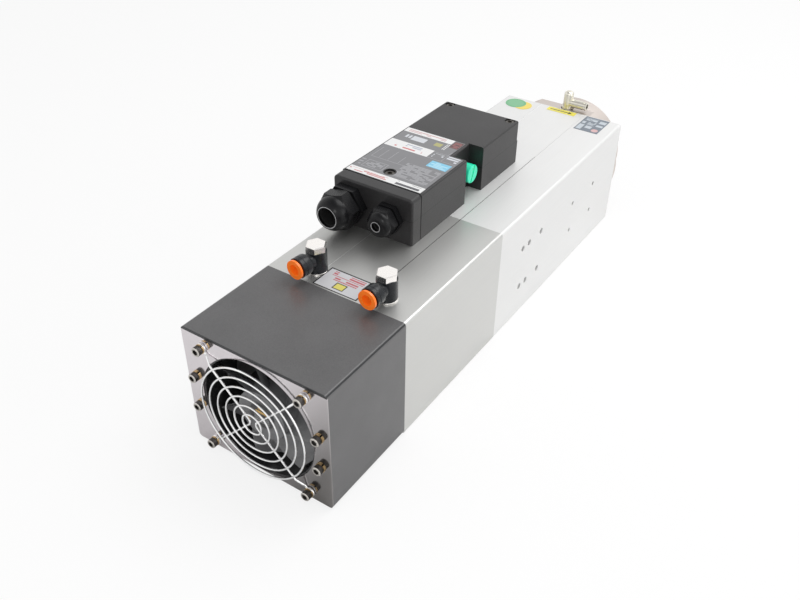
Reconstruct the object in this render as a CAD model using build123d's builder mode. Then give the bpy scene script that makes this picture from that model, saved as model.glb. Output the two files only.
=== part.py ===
"""Air-cooled motor spindle with a pneumatic tool release, in millimetres.

+Y runs along the spindle towards the tool nose, +Z is up and the housing stands on z = 0.
The origin is on the base, under the spindle axis, half way along the body.
"""
import os
from collections import namedtuple
from math import cos, radians, sin, sqrt

from build123d import *

# ---------------------------------------------------------------- body
body_width = 150.0
body_height = 127.0
hood_length = 106.0
rear_housing_length = 166.0
front_housing_length = 291.0
edge_radius = 3.0
bore_radius = 53.0
running_clearance = 0.05

body_length = hood_length + rear_housing_length + front_housing_length
rear_y = -body_length / 2
hood_y = rear_y + hood_length
joint_y = hood_y + rear_housing_length
front_y = joint_y + front_housing_length
axis_z = body_height / 2

# Channel for the wires along the top, closed by a flush cover
cover_width = 57.0
cover_thickness = 3.0
cover_clearance = 0.2
groove_width = 30.0
groove_depth = 3.5
wire_hole_radius = 6.0

# Air ducts in the four corners of the housings
duct_wall = 6.0
duct_width = 17.0
duct_height = 23.5
duct_radius = 2.0

# ---------------------------------------------------------------- hood and fan
hood_wall = 2.5
hood_bottom = 1.8
plate_thickness = 1.5
fan_drop = 1.15
fan_side_clearance = 0.95
fan_height_allowance = 7.5
tie_bar_least_width = 11.8
fan_z = (body_height - hood_wall + hood_bottom) / 2 - fan_drop
fan_size = min(body_width - 2 * (hood_wall + tie_bar_least_width + fan_side_clearance),
               body_height - fan_height_allowance)
fan_depth = 38.0
fan_screw_pitch = fan_size - 14.5
fan_bore_radius = fan_size / 2 - 1.75
fan_corner_radius = 6.0
fan_flange = 4.0
fan_hub_radius = 25.0
fan_hub_length = 30.0
fan_tip_clearance = 1.5
fan_pin_radius = 3.0
fan_motor_radius = 24.0
fan_motor_thickness = 4.0
fan_strut_width = 5.0
blade_count = 7
blade_thickness = 1.8
blade_chord = 34.0
blade_angle = 38.0
plate_opening_radius = fan_bore_radius + 1.5
screw_radius = 2.5
screw_head_radius = 4.25
screw_head_height = 5.0
socket_radius = 2.3
socket_depth = 2.6
screw_hole_clearance = 0.1
washer_thickness = 1.3
washer_outer_radius = 4.5
side_screw_x = body_width / 2 - 10.0
side_screw_pitch = 32.5
side_screw_length = 14.0
nut_flat = 8.0
nut_height = 4.0
tie_bar_width = body_width / 2 - hood_wall - fan_side_clearance - fan_size / 2
tie_bar_height = 46.0
rear_cover_thickness = 12.0
cover_screw_circle = 65.0
cover_screw_depth = 12.0

# Wire guard over the fan
guard_ring_wire = 0.9
guard_arm_wire = 1.1
guard_ring_count = 6
guard_first_ring = 10.0
guard_ring_step = (fan_bore_radius - 3.0 - guard_first_ring) / (guard_ring_count - 1)
guard_height = 6.5
guard_bend_x = 1.6
guard_bend_radius = 4.5
guard_foot = 1.8
guard_foot_relief = 0.06

# ---------------------------------------------------------------- tool release cylinder
liner_length = 76.0
cylinder_radius = 40.0
cylinder_head_thickness = 10.0
piston_start = 25.0
piston_thickness = 16.0
piston_rod_radius = 12.0
piston_stroke = 9.5
piston_seal_radius = 1.5
drawbar_stroke = 8.0
rod_gap = 1.6
port_y = hood_y + 19.5
port_x = (-32.5, 42.5)
port_radius = 5.9
port_depth = 12.0
port_drill_radius = 3.0
return_drill_radius = 2.5

# Position sensors between the cylinder and the rear bearing
sensor_ring_start = 99.0
sensor_ring_length = 23.0
sensor_ring_bore = 40.0
sensor_radius = 4.0
sensor_gap = 1.0
sensor_target_radius = 13.0
sensor_target_length = 4.0

# ---------------------------------------------------------------- shaft and bearings
Bearing = namedtuple("Bearing", "bore outer width pitch ball balls")
rear_bearing = Bearing(bore=22.5, outer=37.5, width=16.0, pitch=30.0, ball=4.9, balls=12)
front_bearing = Bearing(bore=30.0, outer=47.5, width=18.0, pitch=38.75, ball=5.4, balls=14)
ball_clearance = 0.25
ring_face_gap = 0.05
ring_land = 2.85
cage_thickness = 3.4
cage_side = 1.9

rear_block_start = hood_y + 126.0
rear_block_length = 50.0
rear_bearing_y = rear_block_start + 12.0
rear_cap_length = 8.0
bearing_nut_length = 9.0
bearing_nut_wall = 6.5
shaft_rear_y = hood_y + 122.0
shaft_thread_radius = 21.0
shaft_radius = 26.0
shaft_seat_length = 18.5
drawbar_radius = 8.0
drawbar_bore = 8.5
drawbar_rear_y = shaft_rear_y - 8.0
drawbar_nut_radius = 15.5
drawbar_nut_length = 8.0
spring_bore = 16.0
spring_stack_length = 64.0
spring_count = 24
spring_outer = 15.75
spring_inner = 8.15
spring_thickness = 1.75
spring_gap = 0.04

stator_start = joint_y + 50.0
stator_length = 160.0
stator_bore = 33.0
air_gap = 0.5
winding_length = 18.0
winding_inner = 35.0
winding_outer = 50.0
end_ring_length = 8.0
end_ring_outer = 31.0

# Nose
nose_sleeve_length = 51.0
nose_sleeve_lip = 3.0
nose_lip_bore = 41.0
nose_plate_thickness = 14.0
nose_plate_radius = 72.3
nose_cap_radius = 60.0
nose_cap_length = 37.0
nose_cap_flat = 49.0
nose_cap_chamfer = 1.0
nose_cap_bore_clearance = 0.25
spigot_bore = 41.8
shaft_nose_radius = 35.0
shaft_nose_length = 18.0
labyrinth_clearance = 0.5
labyrinth_length = 14.0
labyrinth_grooves = 3
taper_radius = 15.875
taper_length = 48.0
taper_slope = 7.0 / 48.0
gripper_cavity_radius = 12.0
gripper_cavity_length = 28.0
finger_count = 4
finger_slot = 1.6
key_width = 15.9
key_height = 8.0
key_length = 16.0
cap_screw_circle = 52.0
cap_screw_angles = (14, 45, 76, 194, 225, 256)
cap_screw_depth = 10.0
plate_screw_circle = 66.5
plate_screw_angle = 35.0

# ---------------------------------------------------------------- side mounting holes
small_hole_radius = 2.5
small_pitch_y = 55.0
small_pitch_z = 35.0
small_centre_y = rear_y + 470.0
small_centre_z = 61.7
large_hole_radius = 3.4
large_rows_y = (rear_y + 322.0, rear_y + 336.0, rear_y + 363.0)
large_pitch_z = 47.0
large_centre_z = 60.3
mount_hole_depth = 14.0

# ---------------------------------------------------------------- connection box
box_left = -73.0
box_right = 16.0
box_height = 48.0
box_rear_y = rear_y + 204.5
box_front_y = box_rear_y + 204.5
box_wall = 3.5
box_split = 25.5
end_cap_length = 14.0
end_cap_radius = 4.0
gasket_length = 1.0
gasket_inset = 0.6
notch_start = box_rear_y + 95.5
notch_length = 33.0
notch_depth = 16.0
lid_screw_recess = 5.2
lid_screw_depth = 3.0
lid_screw_side = 8.0
lid_screw_end = 6.0
lid_screw_middle = (-32.0, box_rear_y + 33.9)
screw_boss_radius = 6.0
lid_head_height = 2.0
plug_radius = 9.5
plug_length = 14.2
plug_seat = 0.3
plug_collar_radius = 7.5
plug_collar_length = 2.0
plug_shank_radius = 6.0
plug_slot_width = 2.0
plug_slot_depth = 1.6
box_corner_radius = 2.0
terminal_rows = 6
terminal_pitch = 10.0
terminal_width = 46.0
terminal_height = 16.0
terminal_well_radius = 2.6
terminal_well_depth = 5.0

Gland = namedtuple("Gland", "x thread flats nut_flats nut_thread hex_length thread_length reach mouth hole seal "
               "nut_turn")
large_gland = Gland(x=-55.0, thread=14.15, flats=36.0, nut_flats=35.0, nut_thread=15.0, hex_length=9.0,
                    thread_length=13.0, reach=35.0, mouth=11.6, hole=10.3, seal=9.4, nut_turn=10.0)
small_gland = Gland(x=-9.0, thread=10.0, flats=27.0, nut_flats=26.0, nut_thread=9.2, hex_length=6.0,
                    thread_length=8.0, reach=23.0, mouth=6.3, hole=4.6, seal=3.7, nut_turn=2.0)
glands = {"large": large_gland, "small": small_gland}
gland_z = body_height + box_height / 2
gland_wall = 8.0
gland_gap = 1.5
gland_seal_wall = 2.0
gland_lip = 0.25

# ---------------------------------------------------------------- air fittings
Elbow = namedtuple("Elbow", "bolt body height arm_z arm reach tube head_flats head_height collar socket")
air_elbow = Elbow(bolt=5.7, body=9.5, height=20.5, arm_z=12.5, arm=9.6, reach=24.0, tube=5.1,
                  head_flats=17.0, head_height=6.0, collar=9.0, socket=16.0)
nose_elbow = Elbow(bolt=3.5, body=5.8, height=19.5, arm_z=5.3, arm=5.0, reach=21.0, tube=3.05,
                   head_flats=13.0, head_height=4.0, collar=4.9, socket=13.0)
seal_washer_thickness = 1.5
collar_lip = 3.5
collar_travel = 1.5
collar_sleeve = 5.0
collar_wall = 1.4
head_clearance = 0.3
elbow_turn = {-32.5: -6.0, 42.5: -3.0}
nose_elbow_x = 2.5
nose_elbow_y = front_y + 7.5
nose_port_depth = 8.0
spot_face_radius = 7.6
spot_face_depth = 2.0

# ---------------------------------------------------------------- labels
label_thickness = 0.3

os.makedirs("parts", exist_ok=True)


def across(y):
    """Plane across the spindle at y: local x is +X, local y is +Z, and the normal points to the rear."""
    return Plane(origin=(0, y, 0), x_dir=(1, 0, 0), z_dir=(0, -1, 0))


axis_plane = Plane(origin=(0, 0, axis_z), x_dir=(0, 1, 0), z_dir=(1, 0, 0))
spindle_axis = Axis((0, 0, axis_z), (0, 1, 0))


def turn(*profile, mode=Mode.ADD):
    """Revolve a closed outline of (y, radius) points about the spindle axis."""
    with BuildSketch(axis_plane) as outline:
        with BuildLine():
            Polyline(*profile, close=True)
        make_face()
    revolve(outline.sketch, axis=spindle_axis, mode=mode)


def bar(y, length, radius, centre=(0, axis_z), mode=Mode.ADD):
    """Round bar along +Y from y, centred at (x, z)."""
    with BuildSketch(across(y)) as outline:
        with Locations(centre):
            Circle(radius)
    extrude(outline.sketch, amount=-length, mode=mode)


def hex_bar(y, length, flats, centre, mode=Mode.ADD):
    """Hexagonal bar along +Y from y, centred at (x, z), sized across its flats."""
    with BuildSketch(across(y)) as outline:
        with Locations(centre):
            RegularPolygon(flats / 2, 6, major_radius=False)
    extrude(outline.sketch, amount=-length, mode=mode)


def post(z, height, radius, centre, mode=Mode.ADD):
    """Round post along +Z from z, centred at (x, y)."""
    with BuildSketch(Plane.XY.offset(z)) as outline:
        with Locations(centre):
            Circle(radius)
    extrude(outline.sketch, amount=height, mode=mode)


def hex_post(z, height, flats, centre, mode=Mode.ADD):
    """Hexagonal post along +Z from z, centred at (x, y), sized across its flats."""
    with BuildSketch(Plane.XY.offset(z)) as outline:
        with Locations(centre):
            RegularPolygon(flats / 2, 6, major_radius=False)
    extrude(outline.sketch, amount=height, mode=mode)


def block(low, high, mode=Mode.ADD):
    """Box between two opposite corners."""
    middle = [(a + b) / 2 for a, b in zip(low, high)]
    size = [b - a for a, b in zip(low, high)]
    with Locations(tuple(middle)):
        Box(*size, mode=mode)


def duct_sections(y):
    """The four triangular corner ducts as one sketch across the body."""
    corner_x = body_width / 2 - duct_wall
    corner_z = body_height / 2 - duct_wall
    with BuildSketch(across(y)) as ducts:
        for side in (-1, 1):
            for level in (-1, 1):
                with BuildLine():
                    Polyline(
                        (side * corner_x, axis_z + level * corner_z),
                        (side * (corner_x - duct_width), axis_z + level * corner_z),
                        (side * corner_x, axis_z + level * (corner_z - duct_height)),
                        close=True,
                    )
                make_face()
        fillet(ducts.vertices(), duct_radius)
    return ducts.sketch


def save(node, name):
    """Label a finished piece and write its STEP file."""
    node.label = name
    export_step(node, f"parts/{name}.step")


# ================================================================ housings
def housing_section(y):
    """Section of both housings: rounded block with the stator bore and the covered wire channel."""
    with BuildSketch(across(y)) as section:
        with Locations((0, axis_z)):
            RectangleRounded(body_width, body_height, edge_radius)
            Circle(bore_radius, mode=Mode.SUBTRACT)
        with Locations((0, body_height - cover_thickness / 2)):
            Rectangle(cover_width + 2 * cover_clearance, cover_thickness, mode=Mode.SUBTRACT)
        with Locations((0, body_height - cover_thickness - groove_depth / 2)):
            Rectangle(groove_width, groove_depth, mode=Mode.SUBTRACT)
    return section.sketch


corner_screws = [
    (sx * cover_screw_circle * cos(radians(45)), axis_z + sz * cover_screw_circle * sin(radians(45)))
    for sx in (-1, 1)
    for sz in (-1, 1)
]

nose_screw_places = [
    (sx * plate_screw_circle * cos(radians(plate_screw_angle)),
     axis_z + sz * plate_screw_circle * sin(radians(plate_screw_angle)))
    for sx in (-1, 1)
    for sz in (-1, 1)
]
box_screws = [(x, y) for x in (-64.0, -36.0) for y in (box_rear_y + 22.0, box_front_y - 34.0)]
box_screw_length = 5.4

with BuildPart() as rear_housing:
    extrude(housing_section(hood_y), amount=-rear_housing_length)
    extrude(duct_sections(hood_y), amount=-rear_housing_length, mode=Mode.SUBTRACT)
    for centre in corner_screws:
        bar(hood_y, cover_screw_depth, screw_radius, centre, mode=Mode.SUBTRACT)
    for x in port_x:
        post(body_height - port_depth, port_depth, port_radius, (x, port_y), mode=Mode.SUBTRACT)
        post(axis_z, body_height - axis_z, port_drill_radius, (x, port_y), mode=Mode.SUBTRACT)
    for centre in box_screws:
        if centre[1] < joint_y:
            post(body_height - box_screw_length, box_screw_length, screw_radius, centre, mode=Mode.SUBTRACT)
save(rear_housing.part, "rear_housing")

wire_hole_y = joint_y + 18.0
with BuildPart() as front_housing:
    extrude(housing_section(joint_y), amount=-front_housing_length)
    extrude(duct_sections(joint_y), amount=-front_housing_length, mode=Mode.SUBTRACT)
    post(axis_z, body_height - axis_z, wire_hole_radius, (0, wire_hole_y), mode=Mode.SUBTRACT)
    for side in (-1, 1):
        face = Plane(origin=(side * body_width / 2, 0, 0), x_dir=(0, 1, 0), z_dir=(side, 0, 0))
        up = face.y_dir.Z
        with BuildSketch(face) as small_holes:
            with Locations((small_centre_y, up * small_centre_z)):
                with GridLocations(small_pitch_y, small_pitch_z, 2, 2):
                    Circle(small_hole_radius)
        extrude(small_holes.sketch, amount=-mount_hole_depth, mode=Mode.SUBTRACT)
        with BuildSketch(face) as large_holes:
            for y in large_rows_y:
                with Locations((y, up * large_centre_z)):
                    with GridLocations(1, large_pitch_z, 1, 2):
                        Circle(large_hole_radius)
        extrude(large_holes.sketch, amount=-mount_hole_depth, mode=Mode.SUBTRACT)
    for centre in nose_screw_places:
        bar(front_y - cover_screw_depth, cover_screw_depth, screw_radius, centre, mode=Mode.SUBTRACT)
    for centre in box_screws:
        if centre[1] > joint_y:
            post(body_height - box_screw_length, box_screw_length, screw_radius, centre, mode=Mode.SUBTRACT)
save(front_housing.part, "front_housing")

# Flush covers over the wire channel
with BuildPart() as rear_channel_cover:
    block((-cover_width / 2, hood_y, body_height - cover_thickness), (cover_width / 2, joint_y, body_height))
    for x in port_x:
        post(body_height - cover_thickness, cover_thickness, port_radius + cover_clearance, (x, port_y),
             mode=Mode.SUBTRACT)
save(rear_channel_cover.part, "rear_channel_cover")

box_wire_hole = (0.0, joint_y + 24.0)
with BuildPart() as front_channel_cover:
    block((-cover_width / 2, joint_y, body_height - cover_thickness), (cover_width / 2, front_y, body_height))
    post(body_height - cover_thickness, cover_thickness, wire_hole_radius, box_wire_hole, mode=Mode.SUBTRACT)
save(front_channel_cover.part, "front_channel_cover")

# ================================================================ hood, fan and guard
fan_screws = [(sx * fan_screw_pitch / 2, fan_z + sz * fan_screw_pitch / 2) for sx in (-1, 1) for sz in (-1, 1)]
side_screws = [(sx * side_screw_x, fan_z + sz * side_screw_pitch / 2) for sx in (-1, 1) for sz in (-1, 1)]
plate_top = body_height - hood_wall

with BuildPart() as fan_hood:
    with BuildSketch(across(rear_y)) as hood_section:
        with Locations((0, (body_height + hood_bottom) / 2)):
            Rectangle(body_width, body_height - hood_bottom)
        fillet(hood_section.vertices().group_by(Axis.Z)[-1], edge_radius)
        with Locations((0, (plate_top + hood_bottom) / 2)):
            Rectangle(body_width - 2 * hood_wall, plate_top - hood_bottom, mode=Mode.SUBTRACT)
    extrude(amount=-hood_length)
    block((-body_width / 2, rear_y, hood_bottom), (body_width / 2, rear_y + plate_thickness, plate_top),
          mode=Mode.SUBTRACT)
save(fan_hood.part, "fan_hood")

with BuildPart() as fan_plate:
    block((-body_width / 2, rear_y, hood_bottom), (body_width / 2, rear_y + plate_thickness, plate_top))
    fillet(fan_plate.edges().filter_by(Axis.Y).group_by(Axis.Z)[0], edge_radius)
    bar(rear_y, plate_thickness, plate_opening_radius, (0, fan_z), mode=Mode.SUBTRACT)
    for centre in fan_screws + side_screws:
        bar(rear_y, plate_thickness, screw_radius + screw_hole_clearance, centre, mode=Mode.SUBTRACT)
save(fan_plate.part, "fan_plate")

fan_y = rear_y + plate_thickness
fan_front_y = fan_y + fan_depth
with BuildPart() as fan_frame:
    with BuildSketch(across(fan_y)):
        with Locations((0, fan_z)):
            RectangleRounded(fan_size, fan_size, fan_corner_radius)
            Circle(fan_bore_radius, mode=Mode.SUBTRACT)
    extrude(amount=-fan_depth)
    with BuildSketch(across(fan_y + fan_flange)):
        for sx in (-1, 1):
            for sz in (-1, 1):
                with Locations((sx * fan_size / 2, fan_z + sz * fan_size / 2)):
                    Rectangle(34, 34)
        with Locations((0, fan_z)):
            Circle(fan_bore_radius + 2, mode=Mode.SUBTRACT)
    extrude(amount=-(fan_depth - 2 * fan_flange), mode=Mode.SUBTRACT)
    for centre in fan_screws:
        bar(fan_y, fan_depth, screw_radius + screw_hole_clearance, centre, mode=Mode.SUBTRACT)
    bar(fan_front_y - fan_motor_thickness, fan_motor_thickness, fan_motor_radius, (0, fan_z))
    for k in range(4):
        with BuildSketch(across(fan_front_y - fan_motor_thickness)):
            with Locations((0, fan_z)):
                with PolarLocations(fan_bore_radius / 2 + 2, 1, start_angle=45 + 90 * k):
                    Rectangle(fan_bore_radius, fan_strut_width)
        extrude(amount=-fan_motor_thickness)
    bar(fan_front_y - fan_motor_thickness - fan_hub_length / 2, fan_hub_length / 2, fan_pin_radius, (0, fan_z))
save(fan_frame.part, "fan_frame")

# Fan impeller: a hub cup on the frame's pin, with pitched blades
hub_y = fan_front_y - fan_motor_thickness - 1 - fan_hub_length
blade_tip_radius = fan_bore_radius - fan_tip_clearance
blade_root = fan_hub_radius - 1
blade_rise = blade_chord / 2 * sin(radians(blade_angle))
blade_run = blade_chord / 2 * cos(radians(blade_angle))
with BuildPart() as fan_blade:
    with BuildSketch(Plane(origin=(0, hub_y + fan_hub_length / 2, fan_z), x_dir=(1, 0, 0), z_dir=(0, 0, 1))):
        with BuildLine():
            ThreePointArc((-blade_run, -blade_rise), (0, blade_thickness), (blade_run, blade_rise))
            ThreePointArc((blade_run, blade_rise), (0, 2 * blade_thickness), (-blade_run, -blade_rise))
        make_face()
        offset(amount=blade_thickness / 3)
    extrude(amount=fan_bore_radius)
    bar(hub_y, fan_hub_length, blade_tip_radius, (0, fan_z), mode=Mode.INTERSECT)
    bar(hub_y - 5, fan_hub_length + 10, blade_root, (0, fan_z), mode=Mode.SUBTRACT)

with BuildPart() as fan_rotor:
    bar(hub_y, fan_hub_length, fan_hub_radius, (0, fan_z))
    fillet(fan_rotor.edges().filter_by(GeomType.CIRCLE).group_by(Axis.Y)[0], 2)
    bar(hub_y + fan_hub_length / 2 - 1, fan_hub_length / 2 + 1, fan_pin_radius + running_clearance, (0, fan_z),
        mode=Mode.SUBTRACT)
    with Locations(Location((0, 0, fan_z))):
        for k in range(blade_count):
            add(fan_blade.part.moved(Location((0, 0, -fan_z))), rotation=(0, 360 / blade_count * k, 0))
save(fan_rotor.part, "fan_rotor")

# Screws of the rear plate: the corner ones hold the guard and the fan, the side ones pull on the tie bars
guard_loop = 2 * guard_arm_wire
head_seats = {centre: rear_y - guard_loop - washer_thickness for centre in fan_screws}
head_seats.update({centre: rear_y - washer_thickness for centre in side_screws})

with BuildPart() as plate_screws:
    for centre, seat in head_seats.items():
        end = fan_front_y + nut_height if centre in fan_screws else fan_y + side_screw_length
        bar(seat - screw_head_height, screw_head_height, screw_head_radius, centre)
        bar(seat, end - seat, screw_radius, centre)
        hex_bar(seat - screw_head_height, socket_depth, 2 * socket_radius, centre, mode=Mode.SUBTRACT)
save(plate_screws.part, "plate_screws")

with BuildPart() as lock_washers:
    for centre, seat in head_seats.items():
        bar(seat, washer_thickness, washer_outer_radius, centre)
        bar(seat, washer_thickness, screw_radius + screw_hole_clearance, centre, mode=Mode.SUBTRACT)
save(lock_washers.part, "lock_washers")

with BuildPart() as fan_nuts:
    for centre in fan_screws:
        hex_bar(fan_front_y, nut_height, nut_flat, centre)
        bar(fan_front_y, nut_height, screw_radius, centre, mode=Mode.SUBTRACT)
save(fan_nuts.part, "fan_nuts")

rear_cover_y = hood_y - rear_cover_thickness
with BuildPart() as tie_bars:
    for side in (-1, 1):
        outer = side * (body_width / 2 - hood_wall)
        inner = outer - side * tie_bar_width
        block((min(inner, outer), fan_y, fan_z - tie_bar_height / 2),
              (max(inner, outer), rear_cover_y, fan_z + tie_bar_height / 2))
    for centre in side_screws:
        bar(fan_y, side_screw_length, screw_radius, centre, mode=Mode.SUBTRACT)
save(tie_bars.part, "tie_bars")

# Wire guard: concentric rings welded to two bent arms that end in loops under the corner screws
ring_y = rear_y - guard_height
arm_y = ring_y + guard_ring_wire + guard_arm_wire - 0.4
outer_ring = guard_first_ring + guard_ring_step * (guard_ring_count - 1)
loop_radius = screw_radius + screw_hole_clearance + guard_arm_wire
loop_y = rear_y - guard_arm_wire
arm_run = fan_screw_pitch / 2 - loop_radius * cos(radians(45))
arm_knee = (outer_ring + 3 * guard_arm_wire) * cos(radians(45))
with BuildPart() as fan_guard:
    for k in range(guard_ring_count):
        with BuildSketch(axis_plane):
            with Locations((ring_y, fan_z - axis_z + guard_first_ring + guard_ring_step * k)):
                Circle(guard_ring_wire)
        revolve(axis=Axis((0, 0, fan_z), (0, 1, 0)))
    for side in (-1, 1):
        with BuildLine() as arm_path:
            FilletPolyline(
                (side * arm_run, loop_y, fan_z + arm_run),
                (side * (arm_run - guard_foot), loop_y, fan_z + arm_run - guard_foot),
                (side * arm_knee, arm_y, fan_z + arm_knee),
                (side * guard_bend_x, arm_y, fan_z),
                (side * arm_knee, arm_y, fan_z - arm_knee),
                (side * (arm_run - guard_foot), loop_y, fan_z - arm_run + guard_foot),
                (side * arm_run, loop_y, fan_z - arm_run),
                radius=[2, 2, guard_bend_radius, 2, 2],
            )
        with BuildSketch(Plane(origin=arm_path.line @ 0, z_dir=arm_path.line % 0)):
            Circle(guard_arm_wire - guard_foot_relief)
        sweep(path=arm_path.line)
    for x, z in fan_screws:
        with BuildSketch(Plane(origin=(0, 0, z), x_dir=(0, 1, 0), z_dir=(1, 0, 0)).offset(x)):
            with Locations((loop_y, loop_radius)):
                Circle(guard_arm_wire)
        revolve(axis=Axis((x, 0, z), (0, 1, 0)))
save(fan_guard.part, "fan_guard")

# ================================================================ rear cover and tool release cylinder
with BuildPart() as rear_cover:
    with BuildSketch(across(rear_cover_y)):
        with Locations((0, (plate_top + hood_bottom) / 2)):
            Rectangle(body_width - 2 * hood_wall, plate_top - hood_bottom)
    extrude(amount=-rear_cover_thickness)
    extrude(duct_sections(rear_cover_y), amount=-rear_cover_thickness, mode=Mode.SUBTRACT)
    for centre in corner_screws:
        bar(rear_cover_y, rear_cover_thickness, screw_radius + screw_hole_clearance, centre, mode=Mode.SUBTRACT)
save(rear_cover.part, "rear_cover")

head_y = hood_y + liner_length - cylinder_head_thickness
return_port_z = axis_z + 12.0
return_chamber_y = head_y - 3 * return_drill_radius
with BuildPart() as cylinder_body:
    turn((hood_y, cylinder_radius), (hood_y, bore_radius), (hood_y + liner_length, bore_radius),
         (hood_y + liner_length, piston_rod_radius + running_clearance),
         (head_y, piston_rod_radius + running_clearance), (head_y, cylinder_radius))
    post(axis_z, bore_radius, port_drill_radius, (port_x[0], port_y), mode=Mode.SUBTRACT)
    post(return_port_z, bore_radius, port_drill_radius, (port_x[1], port_y), mode=Mode.SUBTRACT)
    bar(port_y, return_chamber_y - port_y, return_drill_radius, (port_x[1], return_port_z), mode=Mode.SUBTRACT)
    with BuildSketch(Plane(origin=(0, return_chamber_y, return_port_z), z_dir=(1, 0, 0))):
        Circle(return_drill_radius)
    extrude(amount=port_x[1], mode=Mode.SUBTRACT)
save(cylinder_body.part, "cylinder_body")

piston_y = hood_y + piston_start
rod_end_y = drawbar_rear_y - rod_gap
seal_groove = cylinder_radius - running_clearance - 2 * piston_seal_radius + 0.6
with BuildPart() as piston:
    turn((piston_y, 0), (piston_y, cylinder_radius - running_clearance),
         (piston_y + piston_thickness, cylinder_radius - running_clearance),
         (piston_y + piston_thickness, piston_rod_radius), (rod_end_y, piston_rod_radius), (rod_end_y, 0))
    for k in (1, 2):
        y = piston_y + piston_thickness * k / 3
        turn((y - piston_seal_radius, seal_groove), (y - piston_seal_radius, cylinder_radius),
             (y + piston_seal_radius, cylinder_radius), (y + piston_seal_radius, seal_groove), mode=Mode.SUBTRACT)
save(piston.part, "piston")

with BuildPart() as piston_seals:
    for k in (1, 2):
        y = piston_y + piston_thickness * k / 3
        turn((y - piston_seal_radius, seal_groove), (y - piston_seal_radius, cylinder_radius - running_clearance / 2),
             (y + piston_seal_radius, cylinder_radius - running_clearance / 2),
             (y + piston_seal_radius, seal_groove))
save(piston_seals.part, "piston_seals")

# Sensors that read the drawbar's place
sensor_y = drawbar_rear_y + sensor_target_length / 2
sensor_ring_y = hood_y + sensor_ring_start
with BuildPart() as sensor_ring:
    turn((sensor_ring_y, sensor_ring_bore), (sensor_ring_y, bore_radius),
         (sensor_ring_y + sensor_ring_length, bore_radius), (sensor_ring_y + sensor_ring_length, sensor_ring_bore))
    with BuildSketch(Plane.YZ):
        with Locations((sensor_y, axis_z)):
            Circle(sensor_radius)
    extrude(amount=bore_radius, both=True, mode=Mode.SUBTRACT)
save(sensor_ring.part, "sensor_ring")

with BuildPart() as position_sensors:
    for side in (-1, 1):
        with BuildSketch(Plane.YZ.offset(side * (sensor_target_radius + sensor_gap))):
            with Locations((sensor_y, axis_z)):
                Circle(sensor_radius)
        extrude(amount=side * (bore_radius - 2 - sensor_target_radius - sensor_gap))
save(position_sensors.part, "position_sensors")


# ================================================================ bearings
def bearing_ring(bearing, y, inner):
    """Inner or outer ring of a ball bearing, with its raceway groove."""
    groove = bearing.ball + ball_clearance
    middle = bearing.pitch - ring_land if inner else bearing.pitch + ring_land
    low, high = (bearing.bore, middle) if inner else (middle, bearing.outer)
    with BuildSketch(axis_plane) as section:
        with Locations((y + bearing.width / 2, (low + high) / 2)):
            Rectangle(bearing.width - ring_face_gap, high - low)
        with Locations((y + bearing.width / 2, bearing.pitch)):
            Circle(groove, mode=Mode.SUBTRACT)
    revolve(section.sketch, axis=spindle_axis)


def ball_places(bearing, y):
    """Centres of a bearing's balls."""
    turns = [radians(360 / bearing.balls * k) for k in range(bearing.balls)]
    return [(bearing.pitch * cos(a), y + bearing.width / 2, axis_z + bearing.pitch * sin(a)) for a in turns]


def bearing_cage(bearing, y):
    """Ring between the raceways with a round pocket for each ball."""
    half = bearing.ball + ball_clearance + cage_side
    middle = y + bearing.width / 2
    turn((middle - half, bearing.pitch - cage_thickness / 2), (middle - half, bearing.pitch + cage_thickness / 2),
         (middle + half, bearing.pitch + cage_thickness / 2), (middle + half, bearing.pitch - cage_thickness / 2))
    for k in range(bearing.balls):
        out = Vector(cos(radians(360 / bearing.balls * k)), 0, sin(radians(360 / bearing.balls * k)))
        with BuildSketch(Plane(origin=Vector(0, middle, axis_z) + out * bearing.pitch / 2, z_dir=out)) as pocket:
            Circle(bearing.ball + ball_clearance)
        extrude(pocket.sketch, amount=bearing.pitch, mode=Mode.SUBTRACT)


front_lip_y = front_y - nose_sleeve_length
front_bearing_y = front_lip_y + nose_sleeve_lip
front_pair = (front_bearing_y, front_bearing_y + front_bearing.width)
front_pair_end = front_bearing_y + 2 * front_bearing.width
bearing_sets = {"rear": (rear_bearing, (rear_bearing_y,)), "front": (front_bearing, front_pair)}

with BuildPart() as outer_rings:
    for bearing, starts in bearing_sets.values():
        for y in starts:
            bearing_ring(bearing, y, inner=False)
save(outer_rings.part, "bearing_outer_rings")

with BuildPart() as inner_rings:
    for bearing, starts in bearing_sets.values():
        for y in starts:
            bearing_ring(bearing, y, inner=True)
save(inner_rings.part, "bearing_inner_rings")

for place, (bearing, starts) in bearing_sets.items():
    with BuildPart() as ball_cages:
        for y in starts:
            bearing_cage(bearing, y)
        for y in starts:
            with Locations(*ball_places(bearing, y)):
                Sphere(bearing.ball)
    save(ball_cages.part, f"{place}_ball_cages")

rear_block_end = rear_block_start + rear_block_length
rear_seat_end = rear_bearing_y + rear_bearing.width
with BuildPart() as rear_bearing_housing:
    turn((rear_block_start, rear_bearing.outer), (rear_block_start, bore_radius), (rear_block_end, bore_radius),
         (rear_block_end, shaft_radius + 3), (rear_seat_end, shaft_radius + 3), (rear_seat_end, rear_bearing.outer))
save(rear_bearing_housing.part, "rear_bearing_housing")

with BuildPart() as rear_bearing_cap:
    turn((rear_bearing_y - rear_cap_length, rear_bearing.pitch + ring_land),
         (rear_bearing_y - rear_cap_length, rear_bearing.outer),
         (rear_bearing_y, rear_bearing.outer), (rear_bearing_y, rear_bearing.pitch + ring_land))
save(rear_bearing_cap.part, "rear_bearing_cap")

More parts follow.
